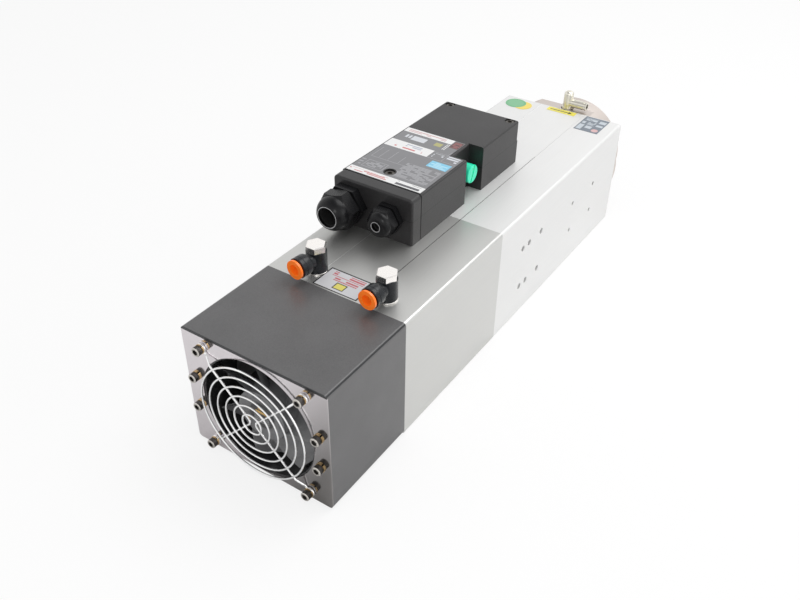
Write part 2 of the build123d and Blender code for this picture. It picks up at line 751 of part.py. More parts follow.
# ================================================================ shaft
nose_end_y = front_y + nose_plate_thickness + nose_cap_length + shaft_nose_length
nose_shoulder_y = front_pair_end
rear_nut_y = rear_bearing_y - bearing_nut_length
front_nut_y = front_bearing_y - bearing_nut_length - 2
shaft_step_y = rear_seat_end + 3
front_thread_y = front_nut_y - 4
cavity_y = nose_end_y - taper_length - gripper_cavity_length
spring_end_y = drawbar_rear_y + 8 + drawbar_nut_length + 8 + spring_stack_length
taper_small = taper_radius - taper_length * taper_slope
with BuildPart() as shaft:
    turn(
        (shaft_rear_y, shaft_thread_radius), (rear_bearing_y, shaft_thread_radius),
        (rear_bearing_y, rear_bearing.bore), (shaft_step_y, rear_bearing.bore), (shaft_step_y, shaft_radius),
        (front_thread_y, shaft_radius), (front_thread_y, front_bearing.bore),
        (nose_shoulder_y, front_bearing.bore), (nose_shoulder_y, shaft_nose_radius),
        (nose_end_y, shaft_nose_radius), (nose_end_y, taper_radius), (nose_end_y - taper_length, taper_small),
        (nose_end_y - taper_length, gripper_cavity_radius), (cavity_y, gripper_cavity_radius),
        (cavity_y, drawbar_bore), (spring_end_y, drawbar_bore), (spring_end_y, spring_bore),
        (shaft_rear_y, spring_bore),
    )
    for side in (-1, 1):
        x = side * (shaft_nose_radius - key_height / 2)
        block((x - key_height / 2, nose_end_y - key_length / 2, axis_z - key_width / 2),
              (x + key_height / 2, nose_end_y, axis_z + key_width / 2), mode=Mode.SUBTRACT)
save(shaft.part, "shaft")

with BuildPart() as drive_keys:
    for side in (-1, 1):
        x = side * (shaft_nose_radius - key_height / 2)
        block((x - key_height / 2, nose_end_y - key_length / 2, axis_z - key_width / 2),
              (x + key_height / 2, nose_end_y + key_length / 2, axis_z + key_width / 2))
    fillet(drive_keys.edges().filter_by(Axis.Y), 1)
save(drive_keys.part, "drive_keys")


def lock_nut(y, length, inner, outer):
    """Slotted round nut that clamps a bearing on the shaft."""
    turn((y, inner), (y, outer), (y + length, outer), (y + length, inner))
    for k in range(4):
        with BuildSketch(across(y)) as slot:
            with Locations((0, axis_z)):
                with PolarLocations(outer, 1, start_angle=90 * k):
                    Rectangle(4, 6)
        extrude(slot.sketch, amount=-length, mode=Mode.SUBTRACT)


with BuildPart() as bearing_nuts:
    lock_nut(rear_nut_y, bearing_nut_length, shaft_thread_radius, shaft_thread_radius + bearing_nut_wall)
    lock_nut(front_nut_y, bearing_nut_length + 2, front_bearing.bore, front_bearing.bore + bearing_nut_wall)
save(bearing_nuts.part, "bearing_nuts")

with BuildPart() as labyrinth_ring:
    turn((nose_shoulder_y, shaft_nose_radius), (nose_shoulder_y, spigot_bore - labyrinth_clearance),
         (nose_shoulder_y + labyrinth_length, spigot_bore - labyrinth_clearance),
         (nose_shoulder_y + labyrinth_length, shaft_nose_radius))
    for k in range(labyrinth_grooves):
        y = nose_shoulder_y + labyrinth_length * (k + 0.75) / (labyrinth_grooves + 0.5)
        turn((y, spigot_bore - 3), (y, spigot_bore), (y + 1.5, spigot_bore), (y + 1.5, spigot_bore - 3),
             mode=Mode.SUBTRACT)
save(labyrinth_ring.part, "labyrinth_ring")

# ================================================================ motor
rotor_radius = stator_bore - air_gap
with BuildPart() as rotor:
    turn((stator_start, shaft_radius), (stator_start, rotor_radius),
         (stator_start + stator_length, rotor_radius), (stator_start + stator_length, shaft_radius))
    for y in (stator_start - end_ring_length - ring_face_gap, stator_start + stator_length + ring_face_gap):
        turn((y, shaft_radius), (y, end_ring_outer), (y + end_ring_length, end_ring_outer),
             (y + end_ring_length, shaft_radius))
save(rotor.part, "rotor")

with BuildPart() as stator_core:
    turn((stator_start, stator_bore), (stator_start, bore_radius), (stator_start + stator_length, bore_radius),
         (stator_start + stator_length, stator_bore))
save(stator_core.part, "stator_core")

with BuildPart() as stator_windings:
    for y in (stator_start - winding_length, stator_start + stator_length):
        with BuildSketch(axis_plane):
            with Locations((y + winding_length / 2, (winding_inner + winding_outer) / 2)):
                RectangleRounded(winding_length, winding_outer - winding_inner, 4)
        revolve(axis=spindle_axis)
save(stator_windings.part, "stator_windings")

# ================================================================ drawbar and tool gripper
drawbar_front_y = cavity_y + 4
drawbar_nut_y = drawbar_rear_y + 16
with BuildPart() as drawbar:
    turn((drawbar_rear_y, 0), (drawbar_rear_y, drawbar_radius), (drawbar_front_y, drawbar_radius),
         (drawbar_front_y, 0))
save(drawbar.part, "drawbar")

# Collars on the drawbar: the nut that holds the springs, and the ring the sensors read
drawbar_collar_sizes = (
    (drawbar_nut_y, drawbar_nut_length, drawbar_nut_radius),
    (drawbar_rear_y, sensor_target_length, sensor_target_radius),
)
with BuildPart() as drawbar_collars:
    for y, length, radius in drawbar_collar_sizes:
        turn((y, drawbar_radius), (y, radius), (y + length, radius), (y + length, drawbar_radius))
save(drawbar_collars.part, "drawbar_collars")

finger_start = drawbar_front_y - 3
finger_end = nose_end_y - taper_length - drawbar_stroke - 1
with BuildPart() as gripper_fingers:
    turn((finger_start, drawbar_radius), (finger_start, gripper_cavity_radius - 1),
         (finger_end, gripper_cavity_radius - 1), (finger_end, 5.2), (finger_end - 3, 5.2), (finger_end - 5, 7.0),
         (drawbar_front_y, 7.0), (drawbar_front_y, drawbar_radius))
    for k in range(finger_count):
        with BuildSketch(across(finger_start - 1)) as slot:
            with Locations((0, axis_z)):
                with PolarLocations(gripper_cavity_radius / 2, 1, start_angle=45 + 90 * k):
                    Rectangle(gripper_cavity_radius + 2, finger_slot)
        extrude(slot.sketch, amount=-(finger_end - finger_start + 2), mode=Mode.SUBTRACT)
save(gripper_fingers.part, "gripper_fingers")

# Disc springs in pairs, nose to tail, between the drawbar nut and the shaft's shoulder
spring_pitch = spring_stack_length / spring_count
with BuildPart() as disc_springs:
    for k in range(spring_count):
        y = spring_end_y - spring_stack_length + spring_pitch * k + spring_gap
        rise = spring_pitch - spring_thickness - 2 * spring_gap
        inner_up, outer_up = (rise, 0) if k % 2 else (0, rise)
        turn((y + inner_up, spring_inner), (y + outer_up, spring_outer),
             (y + outer_up + spring_thickness, spring_outer), (y + inner_up + spring_thickness, spring_inner))
save(disc_springs.part, "disc_springs")

# ================================================================ nose
air_port_top = body_height - spot_face_depth
air_port_bottom = air_port_top - nose_port_depth
cap_y = front_y + nose_plate_thickness
cap_screws = [
    (cap_screw_circle * cos(radians(a)), axis_z + cap_screw_circle * sin(radians(a))) for a in cap_screw_angles
]
with BuildPart() as nose_block:
    bar(front_lip_y, nose_sleeve_length, bore_radius)
    with BuildSketch(across(front_y)):
        with Locations((0, axis_z)):
            Circle(nose_plate_radius)
            Rectangle(body_width, body_height, mode=Mode.INTERSECT)
    extrude(amount=-nose_plate_thickness)
    bar(front_lip_y, nose_sleeve_lip, nose_lip_bore, mode=Mode.SUBTRACT)
    bar(front_bearing_y, nose_sleeve_length + nose_plate_thickness, front_bearing.outer, mode=Mode.SUBTRACT)
    for centre in nose_screw_places:
        bar(front_y, nose_plate_thickness, screw_radius + screw_hole_clearance, centre, mode=Mode.SUBTRACT)
    for centre in cap_screws:
        bar(cap_y - cap_screw_depth, cap_screw_depth, screw_radius, centre, mode=Mode.SUBTRACT)
    post(air_port_top, spot_face_depth, spot_face_radius, (nose_elbow_x, nose_elbow_y), mode=Mode.SUBTRACT)
    post(air_port_bottom, nose_port_depth, nose_elbow.bolt, (nose_elbow_x, nose_elbow_y), mode=Mode.SUBTRACT)
    post(axis_z, air_port_bottom - axis_z, 1.5, (nose_elbow_x, nose_elbow_y), mode=Mode.SUBTRACT)
save(nose_block.part, "nose_block")

cap_screw_sink = screw_head_height + 0.6
with BuildPart() as nose_cap:
    bar(cap_y, nose_cap_length, nose_cap_radius)
    chamfer(nose_cap.edges().filter_by(GeomType.CIRCLE).group_by(Axis.Y)[-1], nose_cap_chamfer)
    with BuildSketch(across(cap_y)):
        with Locations(Location((0, axis_z, 0), 45)):
            Rectangle(3 * nose_cap_radius, 2 * nose_cap_flat)
    extrude(amount=-nose_cap_length, mode=Mode.INTERSECT)
    turn((front_pair_end, spigot_bore), (front_pair_end, front_bearing.outer - running_clearance),
         (cap_y, front_bearing.outer - running_clearance), (cap_y, spigot_bore))
    bar(cap_y, nose_cap_length, shaft_nose_radius + nose_cap_bore_clearance, mode=Mode.SUBTRACT)
    for centre in cap_screws:
        bar(cap_y, nose_cap_length, screw_radius + screw_hole_clearance, centre, mode=Mode.SUBTRACT)
        bar(cap_y + nose_cap_length - cap_screw_sink, cap_screw_sink, screw_head_radius + 0.3, centre,
            mode=Mode.SUBTRACT)
save(nose_cap.part, "nose_cap")

# ================================================================ air fittings
def arm_plane(elbow, centre, base_z, angle, start):
    """Plane across an elbow's arm, its normal pointing out of the mouth."""
    out = (cos(radians(angle)), sin(radians(angle)), 0)
    origin = (centre[0] + out[0] * start, centre[1] + out[1] * start, base_z + elbow.arm_z)
    return Plane(origin=origin, x_dir=(0, 0, 1), z_dir=out)


def elbow_body(elbow, centre, base_z, angle):
    """Swivelling body of a push-in elbow: a drum round the bolt and an arm with the tube socket."""
    post(base_z, elbow.height, elbow.body, centre)
    with BuildSketch(arm_plane(elbow, centre, base_z, angle, 0)) as arm:
        Circle(elbow.arm)
    extrude(arm.sketch, amount=elbow.reach)
    post(base_z, elbow.height, elbow.bolt + running_clearance, centre, mode=Mode.SUBTRACT)
    post(base_z + elbow.height, elbow.height, elbow.head_flats / sqrt(3) + head_clearance, centre,
         mode=Mode.SUBTRACT)
    arm_bores(elbow, centre, base_z, angle)


def arm_bores(elbow, centre, base_z, angle):
    """Collar seat, tube socket and air way along an elbow's arm."""
    mouth = elbow.reach - collar_sleeve - 2 * collar_travel
    with BuildSketch(arm_plane(elbow, centre, base_z, angle, mouth)) as seat:
        Circle(elbow.tube + collar_wall + running_clearance)
    extrude(seat.sketch, amount=elbow.reach, mode=Mode.SUBTRACT)
    with BuildSketch(arm_plane(elbow, centre, base_z, angle, elbow.reach - elbow.socket)) as socket:
        Circle(elbow.tube)
    extrude(socket.sketch, amount=elbow.socket, mode=Mode.SUBTRACT)
    with BuildSketch(arm_plane(elbow, centre, base_z, angle, 0)) as way:
        Circle(elbow.tube / 2)
    extrude(way.sketch, amount=elbow.reach, mode=Mode.SUBTRACT)


def elbow_collar(elbow, centre, base_z, angle):
    """Release collar: a flange outside the mouth and a sleeve that slides in the arm."""
    with BuildSketch(arm_plane(elbow, centre, base_z, angle, elbow.reach + collar_travel)) as flange:
        Circle(elbow.collar)
    extrude(flange.sketch, amount=collar_lip - collar_travel)
    with BuildSketch(arm_plane(elbow, centre, base_z, angle, elbow.reach - collar_sleeve)) as sleeve:
        Circle(elbow.tube + collar_wall)
    extrude(sleeve.sketch, amount=collar_sleeve + collar_lip)
    with BuildSketch(arm_plane(elbow, centre, base_z, angle, elbow.reach - collar_sleeve)) as hole:
        Circle(elbow.tube)
    extrude(hole.sketch, amount=collar_sleeve + collar_lip, mode=Mode.SUBTRACT)


air_base_z = body_height + seal_washer_thickness
elbow_places = {"left": ((port_x[0], port_y), -90 + elbow_turn[port_x[0]]),
                "right": ((port_x[1], port_y), -90 + elbow_turn[port_x[1]])}

# Hollow bolts that hold the elbows down and let them swivel
bolt_bottom = body_height - port_depth + 1
bolt_head_z = air_base_z + air_elbow.height
with BuildPart() as elbow_bolts:
    for centre, angle in elbow_places.values():
        hex_post(bolt_head_z, air_elbow.head_height, air_elbow.head_flats, centre)
    chamfer(elbow_bolts.edges().group_by(Axis.Z)[-1], 0.8)
    for centre, angle in elbow_places.values():
        post(bolt_bottom, bolt_head_z - bolt_bottom, air_elbow.bolt, centre)
        post(bolt_bottom, air_base_z + air_elbow.arm_z - bolt_bottom, air_elbow.bolt - 2.2, centre,
             mode=Mode.SUBTRACT)
save(elbow_bolts.part, "elbow_bolts")

for place, (centre, angle) in elbow_places.items():
    with BuildPart() as elbow_shell:
        elbow_body(air_elbow, centre, air_base_z, angle)
    save(elbow_shell.part, f"{place}_elbow_body")
    with BuildPart() as release_collar:
        elbow_collar(air_elbow, centre, air_base_z, angle)
    save(release_collar.part, f"{place}_release_collar")

nose_elbow_place = (nose_elbow_x, nose_elbow_y)
with BuildPart() as nose_elbow_stem:
    hex_post(air_port_top, nose_elbow.head_height, nose_elbow.head_flats, nose_elbow_place)
    post(air_port_bottom, nose_port_depth, nose_elbow.bolt, nose_elbow_place)
    post(air_port_top, nose_elbow.head_height + nose_elbow.height - 3, nose_elbow.bolt - 0.6, nose_elbow_place)
    post(air_port_bottom, nose_port_depth + nose_elbow.head_height + nose_elbow.arm_z, 1.5, nose_elbow_place,
         mode=Mode.SUBTRACT)
save(nose_elbow_stem.part, "nose_elbow_stem")

nose_elbow_base = air_port_top + nose_elbow.head_height
with BuildPart() as nose_elbow_body:
    post(nose_elbow_base, nose_elbow.height, nose_elbow.body, nose_elbow_place)
    fillet(nose_elbow_body.edges().group_by(Axis.Z)[-1], nose_elbow.body - 1.5)
    with BuildSketch(arm_plane(nose_elbow, nose_elbow_place, nose_elbow_base, 0, 0)):
        Circle(nose_elbow.arm)
    extrude(amount=nose_elbow.reach)
    post(nose_elbow_base, nose_elbow.height - 2.9, nose_elbow.bolt - 0.6 + running_clearance, nose_elbow_place,
         mode=Mode.SUBTRACT)
    arm_bores(nose_elbow, nose_elbow_place, nose_elbow_base, 0)
save(nose_elbow_body.part, "nose_elbow_body")

with BuildPart() as nose_release_collar:
    elbow_collar(nose_elbow, nose_elbow_place, nose_elbow_base, 0)
save(nose_release_collar.part, "nose_release_collar")

# ================================================================ connection box
box_open_y = box_rear_y + end_cap_length + gasket_length
split_z = body_height + box_split
box_top = body_height + box_height
lid_screws = [(box_left + lid_screw_side, box_front_y - lid_screw_end),
              (box_right - lid_screw_side, box_front_y - lid_screw_end),
              lid_screw_middle]
plug_y = notch_start + notch_length / 2
plug_wall_x = box_right - notch_depth


def box_outline(inset, z):
    """Plan of the box at height z, drawn in by inset from its sides, its far end and the notch."""
    with BuildSketch(Plane.XY.offset(z)) as outline:
        with BuildLine():
            Polyline(
                (box_left + inset, box_open_y), (box_right - inset, box_open_y),
                (box_right - inset, notch_start - inset), (plug_wall_x - inset, notch_start - inset),
                (plug_wall_x - inset, notch_start + notch_length + inset),
                (box_right - inset, notch_start + notch_length + inset), (box_right - inset, box_front_y - inset),
                (box_left + inset, box_front_y - inset),
                close=True,
            )
        make_face()
    return outline.sketch


with BuildPart() as box_base:
    extrude(box_outline(0, body_height), amount=box_split)
    extrude(box_outline(box_wall, body_height + box_wall), amount=box_split, mode=Mode.SUBTRACT)
    for centre in lid_screws:
        post(body_height, box_split, screw_boss_radius, centre)
    extrude(box_outline(0, body_height), amount=box_split, mode=Mode.INTERSECT)
    for centre in lid_screws:
        post(body_height + box_wall, box_split, screw_radius, centre, mode=Mode.SUBTRACT)
    for centre in box_screws:
        post(body_height, box_wall, screw_radius + screw_hole_clearance, centre, mode=Mode.SUBTRACT)
    post(body_height, box_wall, wire_hole_radius, box_wire_hole, mode=Mode.SUBTRACT)
    with BuildSketch(Plane.YZ.offset(plug_wall_x - box_wall)):
        with Locations((plug_y, split_z)):
            Circle(plug_shank_radius + running_clearance)
    extrude(amount=box_wall, mode=Mode.SUBTRACT)
save(box_base.part, "box_base")

with BuildPart() as box_lid:
    extrude(box_outline(0, split_z), amount=box_top - split_z)
    fillet(box_lid.edges().group_by(Axis.Z)[-1].filter_by(Axis.Y), box_corner_radius)
    fillet(box_lid.edges().filter_by(Axis.Z).group_by(Axis.Y)[-1], box_corner_radius)
    extrude(box_outline(box_wall, split_z), amount=box_top - split_z - box_wall, mode=Mode.SUBTRACT)
    for centre in lid_screws:
        with BuildSketch(Plane.XY.offset(split_z)) as boss:
            with Locations(centre):
                Circle(screw_boss_radius)
            add(box_outline(box_wall / 2, split_z).moved(Location((0, 0, -split_z))), mode=Mode.INTERSECT)
        extrude(boss.sketch, amount=box_top - split_z - box_wall / 2)
        post(split_z, box_top - split_z, screw_radius + screw_hole_clearance, centre, mode=Mode.SUBTRACT)
        post(box_top - lid_screw_depth, lid_screw_depth, lid_screw_recess, centre, mode=Mode.SUBTRACT)
    with BuildSketch(Plane.YZ.offset(plug_wall_x - box_wall)):
        with Locations((plug_y, split_z)):
            Circle(plug_shank_radius + running_clearance)
    extrude(amount=box_wall, mode=Mode.SUBTRACT)
save(box_lid.part, "box_lid")

with BuildPart() as box_gasket:
    block((box_left + gasket_inset, box_open_y - gasket_length, body_height),
          (box_right - gasket_inset, box_open_y, box_top - gasket_inset))
    block((box_left + box_wall, box_open_y - gasket_length, body_height + box_wall),
          (box_right - box_wall, box_open_y, box_top - box_wall), mode=Mode.SUBTRACT)
save(box_gasket.part, "box_gasket")

with BuildPart() as end_cap:
    block((box_left, box_rear_y, body_height), (box_right, box_rear_y + end_cap_length, box_top))
    fillet(end_cap.edges().filter_by(Axis.Y).group_by(Axis.Z)[-1], end_cap_radius)
    fillet(end_cap.edges().group_by(Axis.Y)[0].sort_by(Axis.Z)[1:], end_cap_radius / 2)
    block((box_left + box_wall, box_rear_y + gland_wall, body_height + box_wall),
          (box_right - box_wall, box_rear_y + end_cap_length, box_top - box_wall), mode=Mode.SUBTRACT)
    for gland in glands.values():
        bar(box_rear_y, gland_wall, gland.thread, (gland.x, gland_z), mode=Mode.SUBTRACT)
save(end_cap.part, "end_cap")

# Socket screws: rear cover, nose block, nose cap, the box on the housings, and its lid
cap_front_y = cap_y + nose_cap_length
lid_screw_end_z = body_height + box_wall + 4
with BuildPart() as socket_screws:
    for centre in corner_screws:
        bar(rear_cover_y - screw_head_height, screw_head_height, screw_head_radius, centre)
        bar(rear_cover_y, rear_cover_thickness + cover_screw_depth, screw_radius, centre)
        hex_bar(rear_cover_y - screw_head_height, socket_depth, 2 * socket_radius, centre, mode=Mode.SUBTRACT)
    for centre in nose_screw_places:
        bar(cap_y, screw_head_height, screw_head_radius, centre)
        bar(front_y - cover_screw_depth, cover_screw_depth + nose_plate_thickness, screw_radius, centre)
        hex_bar(cap_y + screw_head_height - socket_depth, socket_depth, 2 * socket_radius, centre,
                mode=Mode.SUBTRACT)
    for centre in cap_screws:
        bar(cap_front_y - cap_screw_sink, screw_head_height, screw_head_radius, centre)
        bar(cap_y - cap_screw_depth, cap_screw_depth + nose_cap_length - cap_screw_sink, screw_radius, centre)
        hex_bar(cap_front_y - cap_screw_sink + screw_head_height - socket_depth, socket_depth, 2 * socket_radius,
                centre, mode=Mode.SUBTRACT)
    for centre in lid_screws:
        post(box_top - lid_screw_depth, lid_head_height, lid_screw_recess - 0.4, centre)
        post(lid_screw_end_z, box_top - lid_screw_depth - lid_screw_end_z, screw_radius, centre)
        hex_post(box_top - lid_screw_depth + 0.6, lid_head_height, 2 * socket_radius, centre, mode=Mode.SUBTRACT)
    for centre in box_screws:
        post(body_height + box_wall, screw_head_height, screw_head_radius, centre)
        post(body_height - box_screw_length + 1, box_screw_length - 1 + box_wall, screw_radius, centre)
        hex_post(body_height + box_wall + screw_head_height - socket_depth, socket_depth, 2 * socket_radius, centre,
                 mode=Mode.SUBTRACT)
save(socket_screws.part, "socket_screws")

terminal_x = (box_left + box_right) / 2 - 10
terminal_y = box_open_y + 34
terminal_length = terminal_rows * terminal_pitch
terminal_z = body_height + box_wall
with BuildPart() as terminal_block:
    block((terminal_x - terminal_width / 2, terminal_y, terminal_z),
          (terminal_x + terminal_width / 2, terminal_y + terminal_length, terminal_z + terminal_height / 2))
    block((terminal_x - terminal_width / 4, terminal_y, terminal_z),
          (terminal_x + terminal_width / 4, terminal_y + terminal_length, terminal_z + terminal_height))
    for k in range(terminal_rows):
        for side in (-1, 1):
            post(terminal_z + terminal_height - terminal_well_depth, terminal_well_depth, terminal_well_radius,
                 (terminal_x + side * terminal_width / 8, terminal_y + terminal_pitch * (k + 0.5)),
                 mode=Mode.SUBTRACT)
save(terminal_block.part, "terminal_block")

# Screw plug in the notch, turned by its slot
with BuildPart() as side_plug:
    with BuildSketch(Plane.YZ.offset(plug_wall_x + plug_seat)):
        with Locations((plug_y, split_z)):
            Circle(plug_radius)
    extrude(amount=plug_length)
    chamfer(side_plug.edges().group_by(Axis.X)[-1], 0.6)
    with BuildSketch(Plane.YZ.offset(plug_wall_x - box_wall - plug_seat)):
        with Locations((plug_y, split_z)):
            Circle(plug_shank_radius)
    extrude(amount=box_wall + 2 * plug_seat)
    with BuildSketch(Plane.YZ.offset(plug_wall_x - box_wall - plug_seat)):
        with Locations((plug_y, split_z)):
            Circle(plug_collar_radius)
    extrude(amount=-plug_collar_length)
    with BuildSketch(Plane.YZ.offset(plug_wall_x + plug_seat + plug_length)):
        with Locations(Location((plug_y, split_z, 0), 70)):
            Rectangle(2.2 * plug_radius, plug_slot_width)
    extrude(amount=-plug_slot_depth, mode=Mode.SUBTRACT)
save(side_plug.part, "side_plug")


# ================================================================ cable glands
def gland_profile(gland, *profile, mode=Mode.ADD):
    """Revolve a closed outline of (distance behind the box, radius) points about a gland's axis."""
    plane = Plane(origin=(gland.x, box_rear_y, gland_z), x_dir=(0, -1, 0), z_dir=(-1, 0, 0))
    with BuildSketch(plane) as outline:
        with BuildLine():
            Polyline(*profile, close=True)
        make_face()
    revolve(outline.sketch, axis=Axis((gland.x, 0, gland_z), (0, 1, 0)), mode=mode)


with BuildPart() as gland_bodies:
    for gland in glands.values():
        centre = (gland.x, gland_z)
        hex_start = box_rear_y - gland.hex_length
        with BuildSketch(across(hex_start)) as flange:
            with Locations((gland.x, gland_z)):
                RegularPolygon(gland.flats / 2, 6, major_radius=False)
        extrude(flange.sketch, amount=-gland.hex_length)
        bar(box_rear_y, gland_wall, gland.thread, centre)
        bar(hex_start - gland.thread_length, gland.thread_length, gland.nut_thread, centre)
        bar(hex_start - gland.thread_length, gland.thread_length + gland.hex_length + gland_wall,
            gland.seal + gland_seal_wall + running_clearance, centre, mode=Mode.SUBTRACT)
save(gland_bodies.part, "gland_bodies")

# Rubber: the sealing tubes inside the glands and the flat rings under the air elbows
with BuildPart() as rubber_seals:
    for centre, angle in elbow_places.values():
        post(body_height, seal_washer_thickness, air_elbow.body - 1.5, centre)
        post(body_height, seal_washer_thickness, air_elbow.bolt + running_clearance, centre, mode=Mode.SUBTRACT)
    for gland in glands.values():
        front = gland.hex_length + gland_gap * 2
        rear = gland.reach - (gland.mouth - gland.seal) * gland_lip * 4 - gland_gap
        gland_profile(gland, (front, gland.seal), (front, gland.seal + gland_seal_wall),
                      (rear, gland.seal + gland_seal_wall), (rear, gland.seal))
save(rubber_seals.part, "rubber_seals")

for size, gland in glands.items():
    with BuildPart() as gland_nut:
        start = gland.hex_length + gland_gap
        corner = gland.nut_flats / 2 / cos(radians(30))
        shoulder = gland.nut_flats / 2 - 0.4
        hex_end = start + (gland.reach - start) * 0.42
        with BuildSketch(across(box_rear_y - gland.reach)):
            with Locations(Location((gland.x, gland_z, 0), gland.nut_turn)):
                RegularPolygon(gland.nut_flats / 2, 6, major_radius=False)
        extrude(amount=-(gland.reach - start))
        dome_plane = Plane(origin=(gland.x, box_rear_y, gland_z), x_dir=(0, -1, 0), z_dir=(-1, 0, 0))
        with BuildSketch(dome_plane):
            with BuildLine():
                Polyline((start, 0), (start, corner - 0.8), (start + 0.8, corner), (hex_end, corner),
                         (hex_end + corner - shoulder, shoulder))
                TangentArc((hex_end + corner - shoulder, shoulder), (gland.reach, gland.mouth), tangent=(1, 0))
                Polyline((gland.reach, gland.mouth), (gland.reach, 0), (start, 0))
            make_face()
        revolve(axis=Axis((gland.x, 0, gland_z), (0, 1, 0)), mode=Mode.INTERSECT)
        thread_end = gland.hex_length + gland.thread_length + gland_gap / 2
        lip_start = gland.reach - (gland.mouth - gland.seal) * gland_lip * 4 - gland_gap / 2
        gland_profile(gland, (0, 0), (0, gland.nut_thread + running_clearance),
                      (thread_end, gland.nut_thread + running_clearance),
                      (thread_end, gland.seal + gland_seal_wall * 1.2),
                      (lip_start, gland.seal + gland_seal_wall * 1.2), (lip_start, gland.hole),
                      (gland.reach, gland.hole), (gland.reach, 0), mode=Mode.SUBTRACT)
    save(gland_nut.part, f"{size}_gland_nut")

# ================================================================ labels, as thin plates
label_boxes = {
    "vent": ((-24.0, hood_y + 1.6), (23.0, hood_y + 30.2)),
    "arrow": ((-16.8, front_y - 11.0), (19.1, front_y - 1.6)),
    "rating": ((32.3, front_y - 40.4), (61.3, front_y - 1.5)),
}
green_label_radius = 12.4
yellow_label_radius = 11.2
green_label = (-55.6, front_y - 16.5)
yellow_label = (-45.4, front_y - 18.0)
with BuildPart() as housing_labels:
    for (x0, y0), (x1, y1) in label_boxes.values():
        block((x0, y0, body_height), (x1, y1, body_height + label_thickness))
    post(body_height, label_thickness, yellow_label_radius, yellow_label)
    post(body_height, label_thickness, green_label_radius, green_label, mode=Mode.SUBTRACT)
    post(body_height, label_thickness, green_label_radius - 0.05, green_label)
save(housing_labels.part, "housing_labels")

box_label_margin = 2.6
box_label_front = notch_start + 29.0
with BuildPart() as box_label:
    with BuildSketch(Plane.XY.offset(box_top)):
        with BuildLine():
            Polyline(
                (box_left + box_label_margin, box_open_y + 1), (box_right - box_label_margin, box_open_y + 1),
                (box_right - box_label_margin, notch_start - box_label_margin),
                (plug_wall_x - box_label_margin, notch_start - box_label_margin),
                (plug_wall_x - box_label_margin, box_label_front), (box_left + box_label_margin, box_label_front),
                close=True,
            )
        make_face()
        with Locations(lid_screw_middle):
            Circle(lid_screw_recess + 0.4, mode=Mode.SUBTRACT)
    extrude(amount=label_thickness)
save(box_label.part, "box_label")
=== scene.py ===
# %% [markdown]
# # A motor spindle, dressed for the camera
#
# The housing, the shaft and every screw arrive as solid bodies that a machine shop could cut. This
# file adds what those solids can't say: the grain of anodised aluminium, the gloss of moulded
# plastic, the knurl of a screw head, the twist of a fan blade and the print on a label. Sizes are
# written in millimetres and `mm` turns them into metres. +Y points to the tool nose and +Z up.

# %% Load the solid bodies
from math import cos, radians, sin

import bmesh
import bpy
import numpy as np
from mathutils import Matrix, Vector


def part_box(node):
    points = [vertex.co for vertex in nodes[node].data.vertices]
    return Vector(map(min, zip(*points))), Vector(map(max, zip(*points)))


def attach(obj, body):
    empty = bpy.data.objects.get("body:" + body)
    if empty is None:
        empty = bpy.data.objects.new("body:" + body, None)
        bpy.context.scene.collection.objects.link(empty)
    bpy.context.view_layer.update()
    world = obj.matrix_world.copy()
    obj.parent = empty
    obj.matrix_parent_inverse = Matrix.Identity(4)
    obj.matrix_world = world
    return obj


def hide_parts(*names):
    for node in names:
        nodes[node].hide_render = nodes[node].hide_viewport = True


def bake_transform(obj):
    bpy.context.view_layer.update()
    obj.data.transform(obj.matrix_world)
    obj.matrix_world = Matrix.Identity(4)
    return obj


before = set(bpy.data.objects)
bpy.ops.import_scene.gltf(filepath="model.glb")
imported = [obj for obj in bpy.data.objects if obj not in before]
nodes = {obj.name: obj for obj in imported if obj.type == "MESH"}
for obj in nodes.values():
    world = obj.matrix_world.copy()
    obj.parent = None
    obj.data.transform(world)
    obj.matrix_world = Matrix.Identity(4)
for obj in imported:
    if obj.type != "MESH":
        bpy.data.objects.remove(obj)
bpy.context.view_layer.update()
mm = 0.001

# %% [markdown]
# ## The camera
#
# A camera is a place, a direction and a lens. Here the direction is given as two turns, an azimuth
# round the object and an elevation above it, with a trace of roll. A matrix product says them in
# order, so none gets mixed up.

# %% Set the camera
azimuth, elevation, roll = radians(33.462), radians(36.718), radians(0.683)
camera_place = (0.37471, -0.63856, 0.56250)
film_width, focal_length, nearest = 36.0, 38.667, 0.01

camera = bpy.data.objects.new("camera", bpy.data.cameras.new("camera"))
bpy.context.scene.collection.objects.link(camera)
camera.data.sensor_width = film_width
camera.data.lens = focal_length
camera.data.clip_start = nearest
camera.matrix_world = (
    Matrix.Translation(camera_place)
    @ Matrix.Rotation(azimuth, 4, "Z")
    @ Matrix.Rotation(radians(90) - elevation, 4, "X")
    @ Matrix.Rotation(roll, 4, "Z")
)
bpy.context.scene.camera = camera
print("camera looks along", [round(v, 3) for v in -camera.matrix_world.col[2].xyz])

# %% [markdown]
# ## Writing a material as a formula
#
# A node tree is a drawing of a sum. Wrapping each socket in a small class with the usual operators
# lets the sum be written down instead: `0.4 + 0.1 * grain` makes its own two Math nodes. Everything
# that isn't plain arithmetic, such as a noise texture, comes from one method, `node`, which takes
# settings first and then what goes into each socket.


